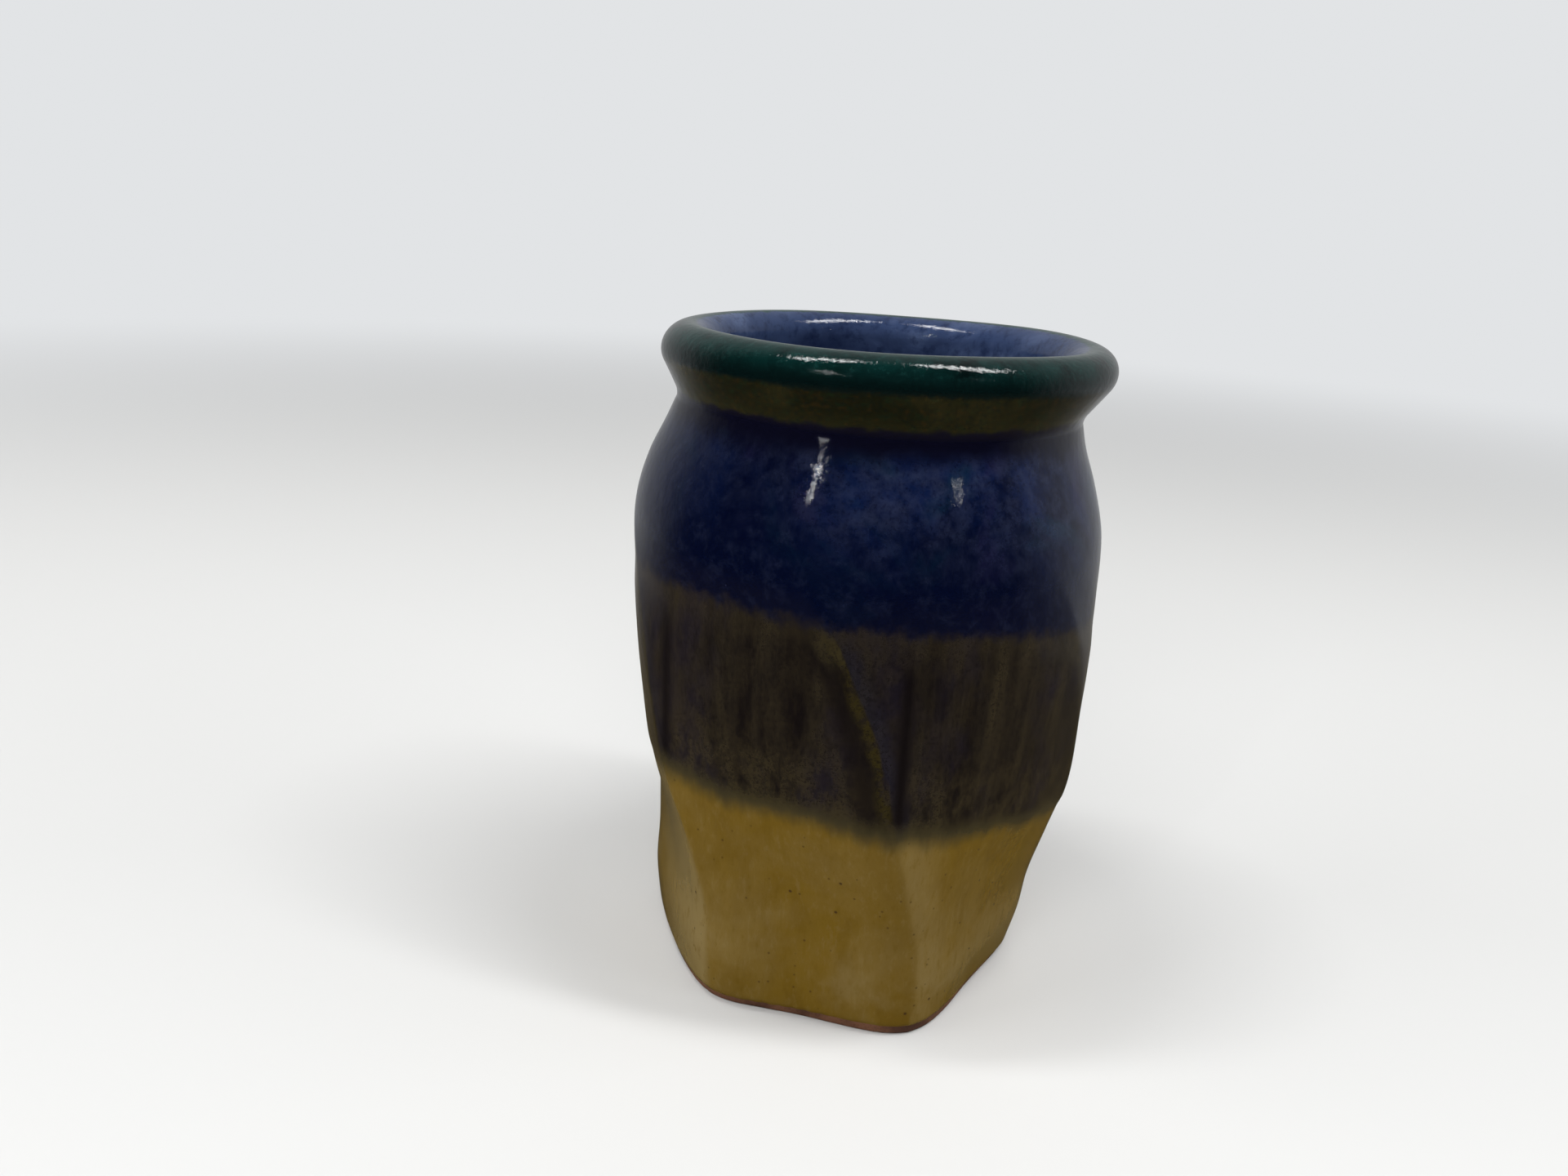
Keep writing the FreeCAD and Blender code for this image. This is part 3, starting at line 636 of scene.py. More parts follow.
class Tree:
    """Short words for making a material's nodes."""

    def __init__(self, owner, output="OutputMaterial"):
        owner.use_nodes = True
        self.owner = owner
        self.tree = owner.node_tree
        self.tree.nodes.clear()
        self.output = self.node(output)

    def node(self, kind, inputs=None, **settings):
        """A node with its settings, and its inputs set to numbers or joined to outputs."""
        made = self.tree.nodes.new("ShaderNode" + kind)
        for key, value in settings.items():
            setattr(made, key, value)
        for key, value in (inputs or {}).items():
            self.put(made.inputs[key], value)
        return made

    def put(self, socket, value):
        """Set an input, or join it to an output."""
        if isinstance(value, bpy.types.NodeSocket):
            self.tree.links.new(value, socket)
        elif hasattr(socket.default_value, "__len__") and not isinstance(value, (int, float)):
            value = tuple(value)
            socket.default_value = value + (1.0,) * (len(socket.default_value) - len(value))
        else:
            socket.default_value = value

    def math(self, operation, first, second):
        """One calculation with two values."""
        return self.node("Math", {0: first, 1: second}, operation=operation).outputs[0]

    def times(self, first, second):
        """Two values multiplied."""
        return self.math("MULTIPLY", first, second)

    def plus(self, first, second):
        """Two values added."""
        return self.math("ADD", first, second)

    def swayed(self, value, noise, reach):
        """A value that a noise moves up and down, by half the reach each way."""
        return self.plus(value, self.times(self.math("SUBTRACT", noise, 0.5), reach))

    def step(self, value, low, high, start=0.0, end=1.0):
        """A soft step between two values."""
        made = self.node("MapRange", {
            "Value": value, "From Min": low, "From Max": high, "To Min": start, "To Max": end,
        }, interpolation_type="SMOOTHSTEP")
        return made.outputs["Result"]

    def mix(self, share, first, second):
        """A blend of two colours."""
        made = self.node("Mix", data_type="RGBA")
        self.put(made.inputs[0], share)
        self.put(made.inputs[6], first)
        self.put(made.inputs[7], second)
        return made.outputs[2]

    def place(self, up=1.0, shift=(0.0, 0.0, 0.0)):
        """The place on the jar in millimetres, drawn out upwards where up is below 1."""
        coordinates = self.node("TexCoord").outputs["Object"]
        made = self.node("Mapping", {
            "Vector": coordinates, "Location": shift, "Scale": (1 / MM, 1 / MM, up / MM)})
        return made.outputs["Vector"]

    def noise(self, scale, detail=3.0, rough=0.5, swirl=0.0, **place):
        """Cloudy noise, with its scale in waves for each millimetre."""
        made = self.node("TexNoise", {
            "Vector": self.place(**place), "Scale": scale, "Detail": detail,
            "Roughness": rough, "Distortion": swirl})
        return made.outputs["Fac"]

    def across(self, axis):
        """The place on the jar along one axis, in millimetres."""
        return self.node("SeparateXYZ", {0: self.place()}).outputs[axis]

    def mark(self, name):
        """The three values of a named mark, in millimetres."""
        made = self.node("Attribute", attribute_name=name)
        scaled = self.node("VectorMath", {0: made.outputs["Vector"], "Scale": 1 / MM}, operation="SCALE")
        parts = self.node("SeparateXYZ", {0: scaled.outputs[0]})
        return parts.outputs

    def finish(self, surface):
        """Join the finished surface to the output."""
        self.put(self.output.inputs["Surface"], surface.outputs[0])
        return self.owner

    def specks(self, scale, size, kept, **place):
        """Small round specks: how many to the millimetre, how large, and what share shows."""
        cells = self.node("TexVoronoi", {
            "Vector": self.place(**place), "Scale": scale, "Randomness": 1.0})
        draw = self.node("SeparateXYZ", {0: cells.outputs["Color"]}).outputs[0]
        shown = self.math("LESS_THAN", draw, kept)
        near = self.step(cells.outputs["Distance"], size * 0.4, size, 1.0, 0.0)
        return self.times(near, shown)


def beside_ridge(tree, start, near, far, end):
    """1 in a strip beside each ridge, between distances in millimetres to the right of it."""
    crest = tree.mark("crest")
    wander = tree.noise(0.22, up=0.3)
    side = tree.swayed(crest[0], wander, 2.5)
    return tree.times(tree.step(side, start, near), tree.step(side, far, end, 1.0, 0.0))


def cream_coat(tree, colours):
    """Buff glaze: faint runs, pale haze low down and iron specks, with painted shade left of each ridge
    and painted light right of it and on the left facet.
    """
    clouds = tree.noise(0.040, 4.0, 0.6, 0.5)
    mottle = tree.noise(0.22, 4.0, 0.6, up=0.5)
    runs = tree.noise(0.55, 3.0, 0.6, up=0.10)
    height = tree.across(2)
    crest = tree.mark("crest")
    made = tree.mix(tree.step(mottle, 0.34, 0.62, 0.55, 0.0), colours.cream, colours.cream_dark_and_painted_shade)
    made = tree.mix(tree.step(runs, 0.50, 0.72, 0.0, 0.22), made, colours.cream_dark_and_painted_shade)
    low = tree.step(height, 32.0, 8.0, 0.35, 1.0)
    pale = tree.times(tree.step(clouds, 0.36, 0.68), tree.times(low, 0.5))
    made = tree.mix(pale, made, colours.cream_pale_and_painted_light)
    # Painted shade in the hollow left of each ridge.
    shade = tree.times(beside_ridge(tree, -10.0, -2.0, -0.4, 0.3), crest[2])
    made = tree.mix(tree.times(shade, 0.35), made, colours.cream_dark_and_painted_shade)
    # Painted light on the lit side right of each ridge.
    painted_light_stripe = tree.times(beside_ridge(tree, -1.2, 1.2, 2.0, 9.0), crest[2])
    made = tree.mix(tree.times(painted_light_stripe, 0.30), made, colours.cream_pale_and_painted_light)
    # Painted light: the left facet made paler as if lit from the left.
    made = tree.mix(tree.times(tree.mark("runs")[1], 0.7), made, colours.cream_pale_and_painted_light)
    made = tree.mix(tree.step(height, 4.0, 1.2, 0.0, 0.55), made, colours.cream_dark_and_painted_shade)
    brushed = tree.noise(0.8, 4.0, 0.7, up=0.35)
    made = tree.mix(tree.step(brushed, 0.50, 0.72, 0.0, 0.20), made, colours.cream_pale_and_painted_light)
    made = tree.mix(tree.step(brushed, 0.48, 0.30, 0.0, 0.40), made, colours.cream_dark_and_painted_shade)
    fine = tree.specks(0.60, 0.20, 0.20)
    large = tree.specks(0.22, 0.10, 0.30, shift=(3.0, 5.0, 1.0))
    shown = tree.math("MAXIMUM", tree.times(fine, 0.55), tree.times(large, 0.8))
    return tree.mix(shown, made, colours.speck)


def overlap_coat(tree, colours):
    """Brown-black overlap: upright runs, olive and violet beside the ridges, and painted shade in the
    hollow left of each.
    """
    levels = tree.mark("levels")
    crest = tree.mark("crest")
    runs = tree.noise(0.17, 4.0, 0.6, up=0.07)
    threads = tree.noise(0.6, 3.0, 0.6, up=0.05, shift=(7.0, 1.0, 4.0))
    clouds = tree.noise(0.06, 4.0, 0.6, up=0.5, shift=(11.0, 3.0, 0.0))
    grain = tree.noise(1.5, 3.0, 0.7)
    mixed = tree.plus(tree.times(runs, 0.72), tree.times(threads, 0.28))
    made = tree.mix(tree.step(mixed, 0.34, 0.62), colours.band_dark_and_painted_shade, colours.band)
    made = tree.mix(tree.step(mixed, 0.52, 0.72, 0.0, 0.45), made, colours.band_light)
    made = tree.mix(tree.step(clouds, 0.46, 0.62, 0.0, 0.6), made, colours.band_violet)
    mottle = tree.noise(0.28, 4.0, 0.7, up=0.6)
    low = tree.times(tree.step(levels[0], 20.0, 4.0, 0.35, 1.0), tree.step(mottle, 0.34, 0.66))
    made = tree.mix(tree.times(low, 0.7), made, colours.band_light)
    # Painted shade in the hollow left of each ridge.
    beside = tree.times(beside_ridge(tree, -7.0, -4.0, -1.6, -0.8), crest[1])
    made = tree.mix(tree.times(beside, 0.7), made, colours.band_dark_and_painted_shade)
    broken = tree.step(tree.noise(0.35, 4.0, 0.65), 0.34, 0.60)
    left = tree.times(beside_ridge(tree, -2.8, -0.8, -0.2, 0.5), crest[1])
    made = tree.mix(tree.times(left, broken), made, colours.amber)
    top = tree.times(beside_ridge(tree, -5.0, -2.6, -0.2, 0.6), tree.step(levels[1], -9.0, -4.5))
    top = tree.times(tree.times(top, crest[1]), 0.6)
    made = tree.mix(tree.times(top, broken), made, colours.fringe)
    right = tree.times(beside_ridge(tree, 0.0, 0.6, 1.2, 4.5), crest[1])
    made = tree.mix(tree.times(right, 0.5), made, colours.lilac)
    run = tree.times(tree.mark("runs")[0], tree.step(levels[1], -3.0, -9.0))
    made = tree.mix(tree.times(run, tree.step(levels[0], 0.0, 5.0)), made, colours.band_dark_and_painted_shade)
    made = tree.mix(tree.step(grain, 0.48, 0.66, 0.0, 0.55), made, colours.band_dark_and_painted_shade)
    return tree.mix(tree.step(levels[1], -7.0, 0.0, 0.0, 0.25), made, colours.band_light)


def blue_coat(tree, colours):
    """Deep cobalt, faintly clouded teal, violet and grey-lilac, with painted shade low on the left."""
    levels = tree.mark("levels")
    clouds = tree.noise(0.038, 4.0, 0.6, 0.8)
    other = tree.noise(0.052, 4.0, 0.6, 0.6, shift=(31.0, 17.0, 5.0))
    mottle = tree.noise(0.26, 5.0, 0.68)
    grain = tree.noise(1.4, 3.0, 0.6)
    made = tree.mix(tree.step(clouds, 0.36, 0.62), colours.blue_dark_and_painted_shade, colours.blue)
    made = tree.mix(tree.step(other, 0.52, 0.70, 0.0, 0.6), made, colours.blue_teal)
    made = tree.mix(tree.step(other, 0.46, 0.30, 0.0, 0.6), made, colours.blue_violet)
    high = tree.step(levels[2], -34.0, -6.0, 0.14, 0.46)
    pale = tree.times(tree.step(mottle, 0.34, 0.72), high)
    made = tree.mix(pale, made, colours.blue_pale)
    made = tree.mix(tree.step(grain, 0.48, 0.70, 0.0, 0.5), made, colours.blue_dark_and_painted_shade)
    made = tree.mix(tree.step(levels[1], 24.0, 6.0, 0.0, 0.9), made, colours.blue_dark_and_painted_shade)
    # Painted shade: the left of the shoulder darkened low down.
    across = tree.across(0)
    left = tree.times(tree.step(across, 0.0, -26.0, 0.0, 0.7), tree.step(levels[1], 34.0, 22.0))
    made = tree.mix(left, made, colours.blue_dark_and_painted_shade)
    haze = tree.noise(0.35, 5.0, 0.75, shift=(13.0, 2.0, 9.0))
    made = tree.mix(tree.step(haze, 0.46, 0.74, 0.0, 0.16), made, colours.blue_pale)
    pits = tree.specks(0.34, 0.05, 0.14)
    return tree.mix(tree.times(pits, 0.6), made, colours.blue_pale)


def collar_coat(tree, colours):
    """Olive-brown collar, mostly a painted reflection of yellow light in the green glaze, with red-brown
    and green flecks.
    """
    flecks = tree.noise(0.9, 4.0, 0.7)
    other = tree.noise(0.7, 4.0, 0.7, shift=(5.0, 9.0, 2.0))
    clouds = tree.noise(0.09, 3.0, 0.5)
    made = tree.mix(tree.step(flecks, 0.50, 0.66), colours.olive, colours.olive_red)
    made = tree.mix(tree.step(other, 0.50, 0.66), made, colours.olive_green)
    # Painted reflection: paler low on the collar.
    made = tree.mix(tree.step(tree.mark("levels")[2], 6.0, 1.0, 0.0, 0.22), made, colours.olive_pale_painted_reflection)
    made = tree.mix(tree.times(tree.step(clouds, 0.42, 0.74), 0.4), made, colours.olive_pale_painted_reflection)
    grain = tree.noise(1.6, 3.0, 0.7)
    return tree.mix(tree.step(grain, 0.50, 0.66, 0.0, 0.7), made, colours.rim_dark_and_painted_shade)


def rim_coat(tree, colours):
    """Dark green glaze, mottled teal, pale on the crest, and painted shade, nearly black, underneath."""
    levels = tree.mark("lip")
    mottle = tree.noise(0.13, 4.0, 0.6, 0.3)
    grain = tree.noise(1.1, 3.0, 0.6)
    made = tree.mix(tree.step(mottle, 0.30, 0.66), colours.rim_dark_and_painted_shade, colours.rim)
    made = tree.mix(tree.times(tree.step(grain, 0.50, 0.72), 0.4), made, colours.rim_pale)
    # Painted shade under the lip.
    low = tree.step(levels[0], 6.0, 1.0)
    made = tree.mix(tree.times(low, 0.95), made, colours.rim_dark_and_painted_shade)
    return tree.mix(tree.step(levels[1], -10.0, -7.0, 0.0, 0.55), made, colours.rim_pale)


def liner_coat(tree, colours):
    """Lilac-blue glaze inside, cloudy near the lip, and painted shade that darkens it to indigo deeper
    in the hollow.
    """
    clouds = tree.noise(0.05, 4.0, 0.6, 0.6)
    mottle = tree.noise(0.4, 4.0, 0.65)
    height = tree.across(2)
    uneven = tree.swayed(height, clouds, 40.0)
    # Painted shade: darker deeper in the hollow.
    made = tree.mix(tree.step(uneven, 108.0, 125.0), colours.liner_dark_and_painted_shade, colours.liner)
    pale = tree.times(tree.step(clouds, 0.44, 0.66), tree.step(height, 100.0, 122.0, 0.1, 0.65))
    made = tree.mix(pale, made, colours.liner_pale)
    return tree.mix(tree.step(mottle, 0.46, 0.70, 0.0, 0.5), made, colours.liner_dark_and_painted_shade)


def over_lower_dip(tree, under, over, colours):
    """From cream through a smoky grey-green fringe into the overlap."""
    levels = tree.mark("levels")
    runs = tree.noise(0.30, 4.0, 0.55, up=0.12)
    soft = tree.noise(0.10, 4.0, 0.6, up=0.5)
    uneven = tree.plus(tree.times(runs, 2.4), tree.times(soft, 6.0))
    level = tree.plus(levels[0], tree.math("SUBTRACT", uneven, 4.2))
    made = tree.mix(tree.step(level, -3.0, 1.5), under, colours.fringe)
    return tree.mix(tree.step(level, -0.2, 5.0), made, over)


def over_upper_dip(tree, under, over, colours):
    """From the overlap into the blue, soft and a little cloudy."""
    levels = tree.mark("levels")
    cloudy = tree.noise(0.35, 4.0, 0.6)
    level = tree.swayed(levels[1], cloudy, 6.0)
    return tree.mix(tree.step(level, -2.0, 2.0), under, over)


def over_crease(tree, under, over, colours):
    """The dark line under the collar, painted shade over glaze pooled in the crease, and the collar over
    it.
    """
    levels = tree.mark("levels")
    uneven = tree.noise(0.22, 3.0, 0.6)
    level = tree.swayed(levels[2], uneven, 3.0)
    # Painted shade under the collar, with glaze pooled in the crease.
    made = tree.mix(tree.step(level, -5.5, -0.5), under, colours.crease)
    return tree.mix(tree.step(level, 1.3, 2.4), made, over)


def over_green_edge(tree, under, over, colours):
    """From the collar's olive, mostly a painted reflection, into the rim's green."""
    levels = tree.mark("lip")
    uneven = tree.noise(0.6, 4.0, 0.65)
    level = tree.swayed(levels[0], uneven, 2.0)
    return tree.mix(tree.step(level, -0.5, 0.5), under, over)


def over_mouth(tree, under, over, colours):
    """From the rim's green into the liner's lilac-blue, just inside the lip."""
    levels = tree.mark("lip")
    uneven = tree.noise(0.5, 4.0, 0.65)
    level = tree.swayed(levels[1], uneven, 2.2)
    return tree.mix(tree.step(level, -6.6, -5.6), under, over)


COATS = {
    "cream": cream_coat, "overlap": overlap_coat, "blue": blue_coat,
    "collar": collar_coat, "rim": rim_coat, "liner": liner_coat,
}
BORDERS = {
    "overlap": over_lower_dip, "blue": over_upper_dip, "collar": over_crease,
    "rim": over_green_edge, "liner": over_mouth,
}


def glaze_material(name, coats, colours, peel_share=0.5):
    """Glossy glaze whose neighbours run into it at its edges, from the lowest coat up."""
    tree = Tree(bpy.data.materials.new(name))
    made = COATS[coats[0]](tree, colours)
    for coat in coats[1:]:
        made = BORDERS[coat](tree, made, COATS[coat](tree, colours), colours)
    ripple = tree.noise(0.30, 2.0, 0.5)
    peel = tree.noise(0.95, 4.0, 0.6)
    pits = tree.specks(0.5, 0.08, 0.25, shift=(2.0, 8.0, 4.0))
    wrinkle = tree.noise(0.5, 2.0, 0.5, shift=(4.0, 1.0, 7.0))
    relief = tree.plus(tree.times(ripple, 1.1), tree.times(peel, peel_share))
    relief = tree.plus(relief, tree.times(wrinkle, 0.5))
    relief = tree.math("SUBTRACT", relief, tree.times(pits, 0.35))
    bump = tree.node("Bump", {"Strength": 1.0, "Distance": 0.055 * MM, "Height": relief})
    patches = tree.noise(0.2, 3.0, 0.6)
    shader = tree.node("BsdfPrincipled", {
        "Base Color": made,
        "Roughness": tree.step(patches, 0.35, 0.70, 0.018, 0.055),
        "Normal": bump.outputs["Normal"],
        "IOR": 1.45,
    })
    return tree.finish(shader)


def clay_material(name, colours):
    """Bare fired clay: iron patches, grit and fine turning lines."""
    tree = Tree(bpy.data.materials.new(name))
    patches = tree.noise(0.09, 4.0, 0.6)
    grit = tree.noise(2.2, 4.0, 0.7)
    grains = tree.specks(1.1, 0.25, 0.3)
    made = tree.mix(tree.step(patches, 0.38, 0.64), colours.clay_dark, colours.clay)
    made = tree.mix(tree.times(tree.step(grit, 0.5, 0.7), 0.5), made, colours.clay_dark)
    made = tree.mix(tree.times(grains, 0.6), made, colours.speck)
    relief = tree.plus(grit, tree.times(grains, 0.6))
    bump = tree.node("Bump", {"Strength": 1.0, "Distance": 0.08 * MM, "Height": relief})
    shader = tree.node("BsdfPrincipled", {
        "Base Color": made, "Roughness": tree.step(grit, 0.3, 0.7, 0.72, 0.92),
        "Normal": bump.outputs["Normal"], "IOR": 1.45})
    return tree.finish(shader)


def finish_piece(piece, material, node):
    """Give a piece its material and its place in the jar, and hide the solid that it stands for."""
    piece.data.materials.append(material)
    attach(piece, "root")
    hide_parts(node)


def coat_marks(form, along):
    """Marks that the glazes' colours follow: ways past each line, ridges, the left facet that the cream
    paints paler as painted light, and runs.
    """
    height = np.minimum(along, form.neck_up)
    share = height / form.neck_up
    reach = form.wall_reach(height)
    near = 1 - smooth_step(np.abs(form.from_ridge), math.radians(17), math.radians(26))
    pressed = smooth_step(share, 0.30, 0.42) * (1 - smooth_step(share, 0.66, 0.78))
    # The left facet, where the cream is painted paler as painted light.
    off_left = -wrapped(form.from_front + RIDGE_STEP)
    facet = smooth_step(off_left, math.radians(-1), math.radians(3))
    facet = facet * (1 - smooth_step(off_left, math.radians(14), math.radians(46)))
    turned = form.from_ridge + form.ridge_way(height) - form.ridge_way(form.sizes.lower_dip)
    upright = hump(reach * turned, -1.5 * MM, 1.4 * MM) * form.ridge_share
    return {
        "levels": triple(
            along - form.lower_line(), along - form.upper_line(), along - form.neck_up),
        "crest": triple(
            reach * form.from_ridge, pressed * form.ridge_share ** 2 * near * MM,
            form.ridge_share ** 12 * near * MM),
        "lip": triple(along - form.green_line(), along - form.lip_end),
        "runs": triple(upright * near * MM, facet * MM),
    }


def coat_piece(form, own, low, high, count, coats, colours, peel_share=0.5):
    """A coat of glaze between two lines on the outside, closed against the clay."""

    def glazed(along):
        return form.outside(along, form.coat_at(along))

    def bare(along):
        return form.outside(along, 0.0)

    outer = rows_between(glazed, low, high, count)
    inner = rows_between(bare, high, low, max(count // 4, 6))
    out = low + (high - low) * np.linspace(0, 1, count)[:, None]
    back = high + (low - high) * np.linspace(0, 1, len(inner[0]))[:, None]
    marks = coat_marks(form, np.concatenate((out, back)))
    piece = closed_mesh(own + "_coat", (outer, inner), None, marks)
    glaze = own + "_glaze"
    finish_piece(piece, glaze_material(glaze, coats, colours, peel_share), glaze)


class JAR_OT_clay(bpy.types.Operator):
    """Make the fired clay body, with its bare foot"""

    bl_idname = "jar.clay"
    bl_label = "Clay body"

    def execute(self, context):
        form = Form(context.scene.jar_sizes)
        sizes = form.sizes
        bevel = sizes.foot_bevel
        foot_top = 3 * MM

        def under(share):
            reach = (form.wall_reach(0.0) + form.pressed(0.0) - bevel) * share
            sunk = sizes.foot_hollow * (1 - smooth_step(share, 0.55, 0.85))
            rings = sizes.foot_rings * (1 + np.sin(share * 60 + form.from_front))
            rings = rings * smooth_step(share, 0.1, 0.3) * (1 - smooth_step(share, 0.8, 0.95))
            return form.placed(reach, sunk + rings, form.ways(0.0))

        def foot(along):
            reach = form.wall_reach(along) + form.pressed(along)
            turned = np.clip((bevel - along) / bevel, 0.0, 1.0)
            reach = reach - bevel * (1 - np.sqrt(1 - turned ** 2 * 0.999))
            return form.placed(reach, along, form.ways(along))

        def outer(along):
            return form.outside(along, 0.0)

        def inner(along):
            return form.inside(along, 0.0)

        parts = (
            rows_between(under, 0.02, 0.999, 28),
            rows_between(foot, 0.01 * MM, foot_top, 12),
            rows_between(outer, foot_top + 0.8 * MM, form.neck_up, 50),
            rows_between(outer, form.neck_up + 0.2 * MM, form.lip_end, 30),
            rows_between(inner, form.inside_end() - 0.2 * MM, MIDDLE, 32),
        )
        poles = (parts[0][0][0].mean(axis=0), parts[-1][0][-1].mean(axis=0))
        piece = closed_mesh("clay", parts, poles, {})
        finish_piece(piece, clay_material("clay", context.scene.jar_colours), "clay_body")
        return {"FINISHED"}


class JAR_OT_liner(bpy.types.Operator):
    """Make the glaze that lines the hollow"""

    bl_idname = "jar.liner"
    bl_label = "Liner glaze"

    def execute(self, context):
        form = Form(context.scene.jar_sizes)
        mouth = form.inside_end()

        def bare(along):
            return form.inside(along, 0.0)

        def glazed(along):
            return form.inside(along, form.sizes.coat)

        hidden = rows_between(bare, MIDDLE, mouth, 30)
        shown = rows_between(glazed, mouth, MIDDLE, 122)
        poles = (hidden[0][0].mean(axis=0), shown[0][-1].mean(axis=0))
        shares = (np.linspace(1, 0, len(hidden[0])), np.linspace(0, 1, len(shown[0])))
        past = mouth * np.concatenate(shares)[:, None] * np.ones(COLUMNS)
        marks = {"lip": triple(PAST_GREEN + past, past)}
        piece = closed_mesh("liner_coat", (hidden, shown), poles, marks)
        colours = context.scene.jar_colours
        material = glaze_material("liner_glaze", ("rim", "liner"), colours, 0.9)
        finish_piece(piece, material, "liner_glaze")
        return {"FINISHED"}


class JAR_OT_dips(bpy.types.Operator):
    """Make the cream, overlap and blue coats on the wall"""

    bl_idname = "jar.dips"
    bl_label = "Dipped glazes"

    def execute(self, context):
        form = Form(context.scene.jar_sizes)
        colours = context.scene.jar_colours
        lines = (form.foot_line(), form.lower_line(), form.upper_line(), form.neck_up)
        stacks = (("cream", "overlap"), ("cream", "overlap", "blue"), ("overlap", "blue", "collar"))
        for own, low, high, coats in zip(("cream", "overlap", "blue"), lines, lines[1:], stacks):
            coat_piece(form, own, low, high, 96, coats, colours)
        return {"FINISHED"}


class JAR_OT_lip(bpy.types.Operator):
    """Make the olive collar and the green rim"""

    bl_idname = "jar.lip"
    bl_label = "Collar and rim glazes"

    def execute(self, context):
        form = Form(context.scene.jar_sizes)
        colours = context.scene.jar_colours
        green = form.green_line()
        coat_piece(form, "collar", form.neck_up, green, 40, ("blue", "collar", "rim"), colours)
        coat_piece(form, "rim", green, form.lip_end, 80, ("collar", "rim", "liner"), colours, 1.3)
        return {"FINISHED"}


def add_lamp(name, side, up, distance, width, height, power, mirrored):
    """A rectangular lamp that looks at the jar from a direction."""
    azimuth, elevation = math.radians(side), math.radians(up)
    level = math.cos(elevation)
    out = Vector((math.sin(azimuth) * level, -math.cos(azimuth) * level, math.sin(elevation)))
    lamp = bpy.data.lights.new(name, "AREA")
    lamp.shape = "RECTANGLE"
    lamp.size = width
    lamp.size_y = height
    lamp.energy = power
    holder = bpy.data.objects.new(name, lamp)
    holder.location = LAMP_TARGET + out * distance
    holder.rotation_euler = out.to_track_quat("Z", "Y").to_euler()
    holder.visible_glossy = mirrored
    bpy.context.scene.collection.objects.link(holder)


def room_strength(tree, way, stage):
    """Strength of the room's light, which comes from behind the jar."""
    towards = tree.node("VectorMath", {0: way, 1: BEHIND}, operation="DOT_PRODUCT")
    behind = tree.step(towards.outputs["Value"], -0.30, 0.45)
    return tree.plus(tree.times(behind, stage.room_light * 0.94), stage.room_light * 0.06)


def make_floor(stage):
    """A wide round floor that runs into the backdrop's colour far away."""
    turns = [math.tau * spoke / FLOOR_SPOKES for spoke in range(FLOOR_SPOKES)]
    vertices = [(0.0, 0.0, 0.0)]
    for ring in FLOOR_RINGS:
        vertices += [(ring * math.cos(turn), ring * math.sin(turn), 0.0) for turn in turns]
    beside = [(spoke + 1) % FLOOR_SPOKES for spoke in range(FLOOR_SPOKES)]
    faces = [(0, 1 + spoke, 1 + after) for spoke, after in enumerate(beside)]
    for ring in range(len(FLOOR_RINGS) - 1):
        first = 1 + ring * FLOOR_SPOKES
        second = first + FLOOR_SPOKES
        faces += [
            (first + spoke, second + spoke, second + after, first + after)
            for spoke, after in enumerate(beside)]
    mesh = bpy.data.meshes.new("floor")
    mesh.from_pydata(vertices, [], faces)
    floor = bpy.data.objects.new("floor", mesh)
    bpy.context.scene.collection.objects.link(floor)
    tree = Tree(bpy.data.materials.new("floor"))
    place = tree.node("TexCoord").outputs["Object"]
    distance = tree.node("VectorMath", {0: place}, operation="LENGTH").outputs["Value"]
    way = tree.node("VectorMath", {0: place}, operation="NORMALIZE").outputs["Vector"]
    rays = tree.node("LightPath").outputs
    near = tree.node("BsdfDiffuse", {
        "Color": tree.mix(rays["Is Glossy Ray"], stage.floor, stage.mirrored_floor)})
    seen = tree.node("Emission", {"Color": stage.backdrop, "Strength": 1.0})
    glow = tree.node("Emission", {"Color": stage.room, "Strength": room_strength(tree, way, stage)})
    far_seen = tree.times(tree.step(distance, 0.35, 1.3), rays["Is Camera Ray"])
    far_mirrored = tree.times(tree.step(distance, 0.10, 0.45), rays["Is Glossy Ray"])
    shown = tree.node("MixShader", {0: far_seen, 1: near.outputs[0], 2: seen.outputs[0]})
    surface = tree.node("MixShader", {0: far_mirrored, 1: shown.outputs[0], 2: glow.outputs[0]})
    mesh.materials.append(tree.finish(surface))


def make_world(stage):
    """Pale backdrop for the camera, and soft light that is stronger from behind."""
    world = bpy.data.worlds.new("room")
    bpy.context.scene.world = world
    tree = Tree(world, "OutputWorld")
    way = tree.node("TexCoord").outputs["Generated"]
    lit = tree.node("Background", {"Color": stage.room, "Strength": room_strength(tree, way, stage)})
    seen = tree.node("Background", {"Color": stage.backdrop, "Strength": 1.0})
    camera_ray = tree.node("LightPath").outputs["Is Camera Ray"]
    tree.finish(tree.node("MixShader", {0: camera_ray, 1: lit.outputs[0], 2: seen.outputs[0]}))


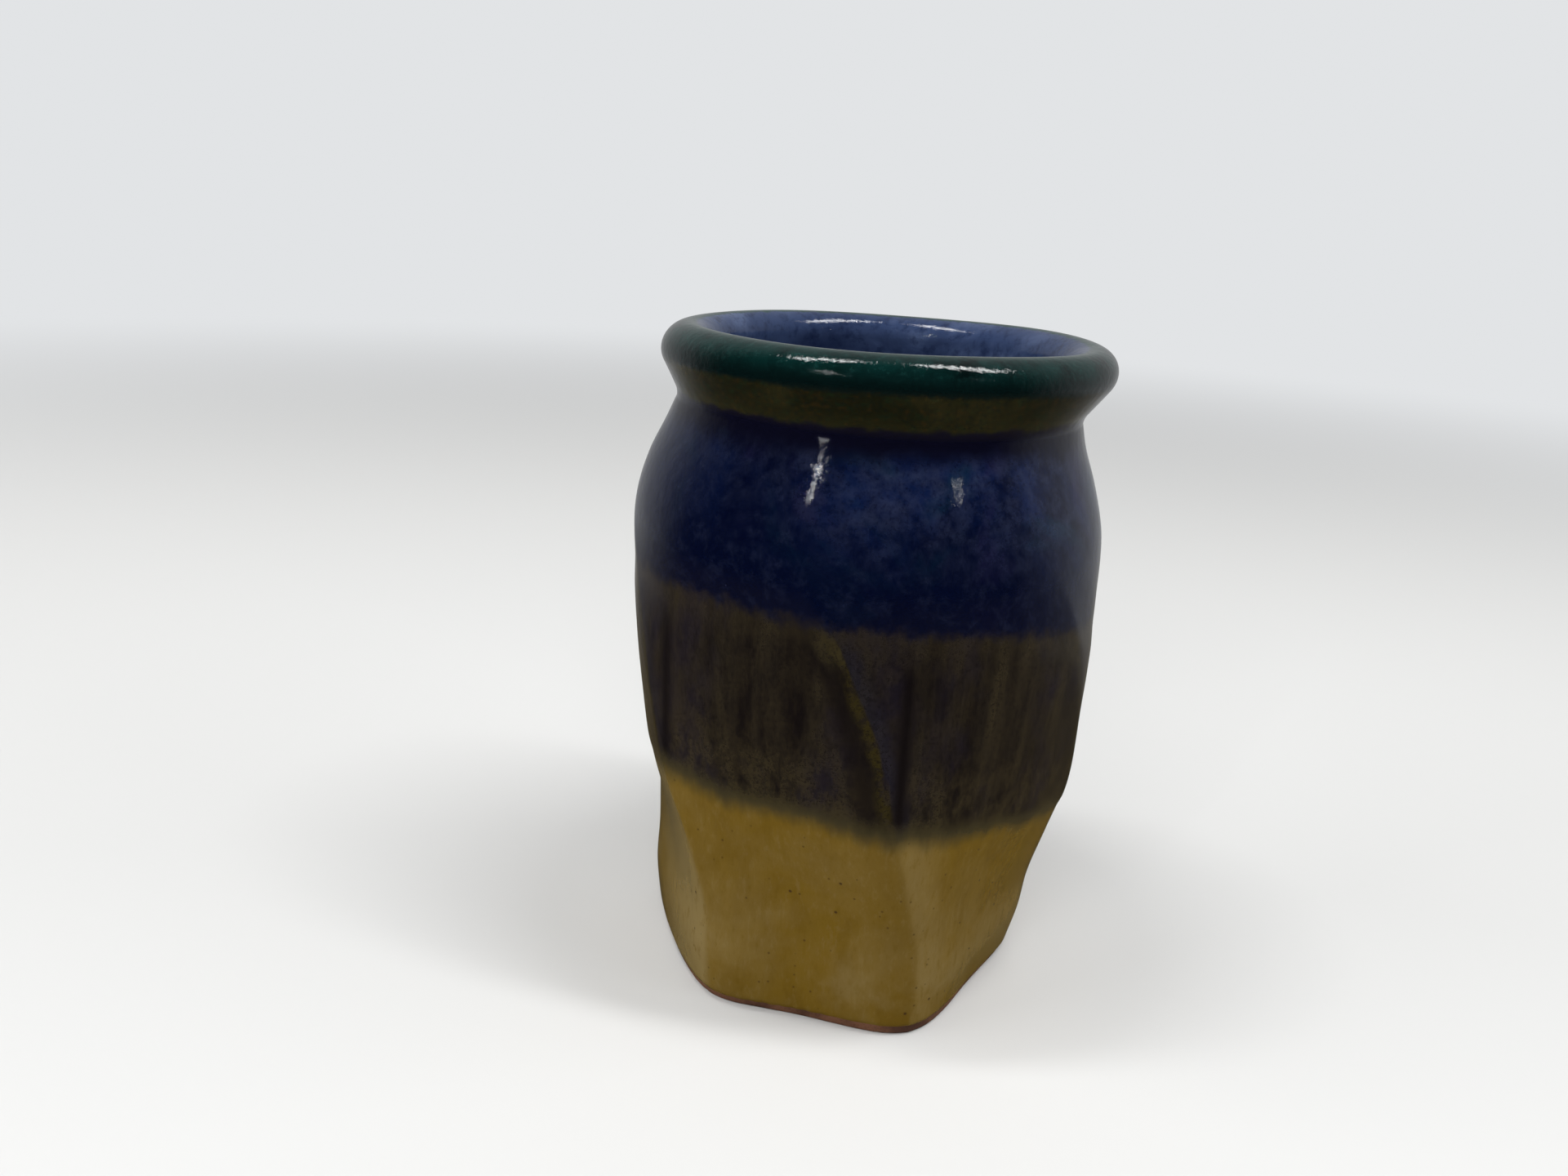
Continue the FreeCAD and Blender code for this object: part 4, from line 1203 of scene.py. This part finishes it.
def make_camera(stage):
    """The camera at the photograph's place and angle."""
    lens = bpy.data.cameras.new("camera")
    lens.sensor_fit = "HORIZONTAL"
    lens.sensor_width = SENSOR_WIDTH
    lens.lens = stage.lens
    lens.clip_start = 0.01
    camera = bpy.data.objects.new("camera", lens)
    place = Matrix.Translation((stage.camera_side, -stage.camera_back, stage.camera_up))
    pitch = Matrix.Rotation(math.pi / 2 - stage.camera_pitch, 4, "X")
    camera.matrix_world = place @ pitch @ Matrix.Rotation(stage.camera_roll, 4, "Z")
    bpy.context.scene.collection.objects.link(camera)
    bpy.context.scene.camera = camera


class JAR_OT_stage(bpy.types.Operator):
    """Make the floor, the backdrop, the lamps and the camera"""

    bl_idname = "jar.stage"
    bl_label = "Stage"

    def execute(self, context):
        stage = context.scene.jar_stage
        make_floor(stage)
        make_world(stage)
        make_camera(stage)
        for name, side, up, distance, width, height, power, mirrored in LAMPS:
            power *= stage.lamp_light
            add_lamp(name, side, up, distance, width, height, power, mirrored)
        context.scene.view_settings.view_transform = "Standard"
        return {"FINISHED"}


class JAR_PT_panel(bpy.types.Panel):
    """Buttons, sizes and colours of the jar"""

    bl_idname = "JAR_PT_panel"
    bl_label = "Dipped jar"
    bl_space_type = "VIEW_3D"
    bl_region_type = "UI"
    bl_category = "Jar"

    def draw(self, context):
        for operator in OPERATORS:
            self.layout.operator(operator.bl_idname)
        for group in (context.scene.jar_sizes, context.scene.jar_colours, context.scene.jar_stage):
            box = self.layout.box()
            for name in group.__annotations__:
                box.prop(group, name)


OPERATORS = (JAR_OT_clay, JAR_OT_liner, JAR_OT_dips, JAR_OT_lip, JAR_OT_stage)
GROUPS = {"jar_sizes": JarSizes, "jar_colours": JarColours, "jar_stage": JarStage}


def register():
    for group in GROUPS.values():
        bpy.utils.register_class(group)
    for kind in OPERATORS + (JAR_PT_panel,):
        bpy.utils.register_class(kind)
    for name, group in GROUPS.items():
        setattr(bpy.types.Scene, name, PointerProperty(type=group))


def unregister():
    for name in GROUPS:
        delattr(bpy.types.Scene, name)
    for kind in (JAR_PT_panel,) + OPERATORS[::-1]:
        bpy.utils.unregister_class(kind)
    for group in GROUPS.values():
        bpy.utils.unregister_class(group)


def main():
    register()
    jar = bpy.ops.jar
    for operator in (jar.clay, jar.liner, jar.dips, jar.lip, jar.stage):
        operator()


if __name__ == "__main__":
    main()
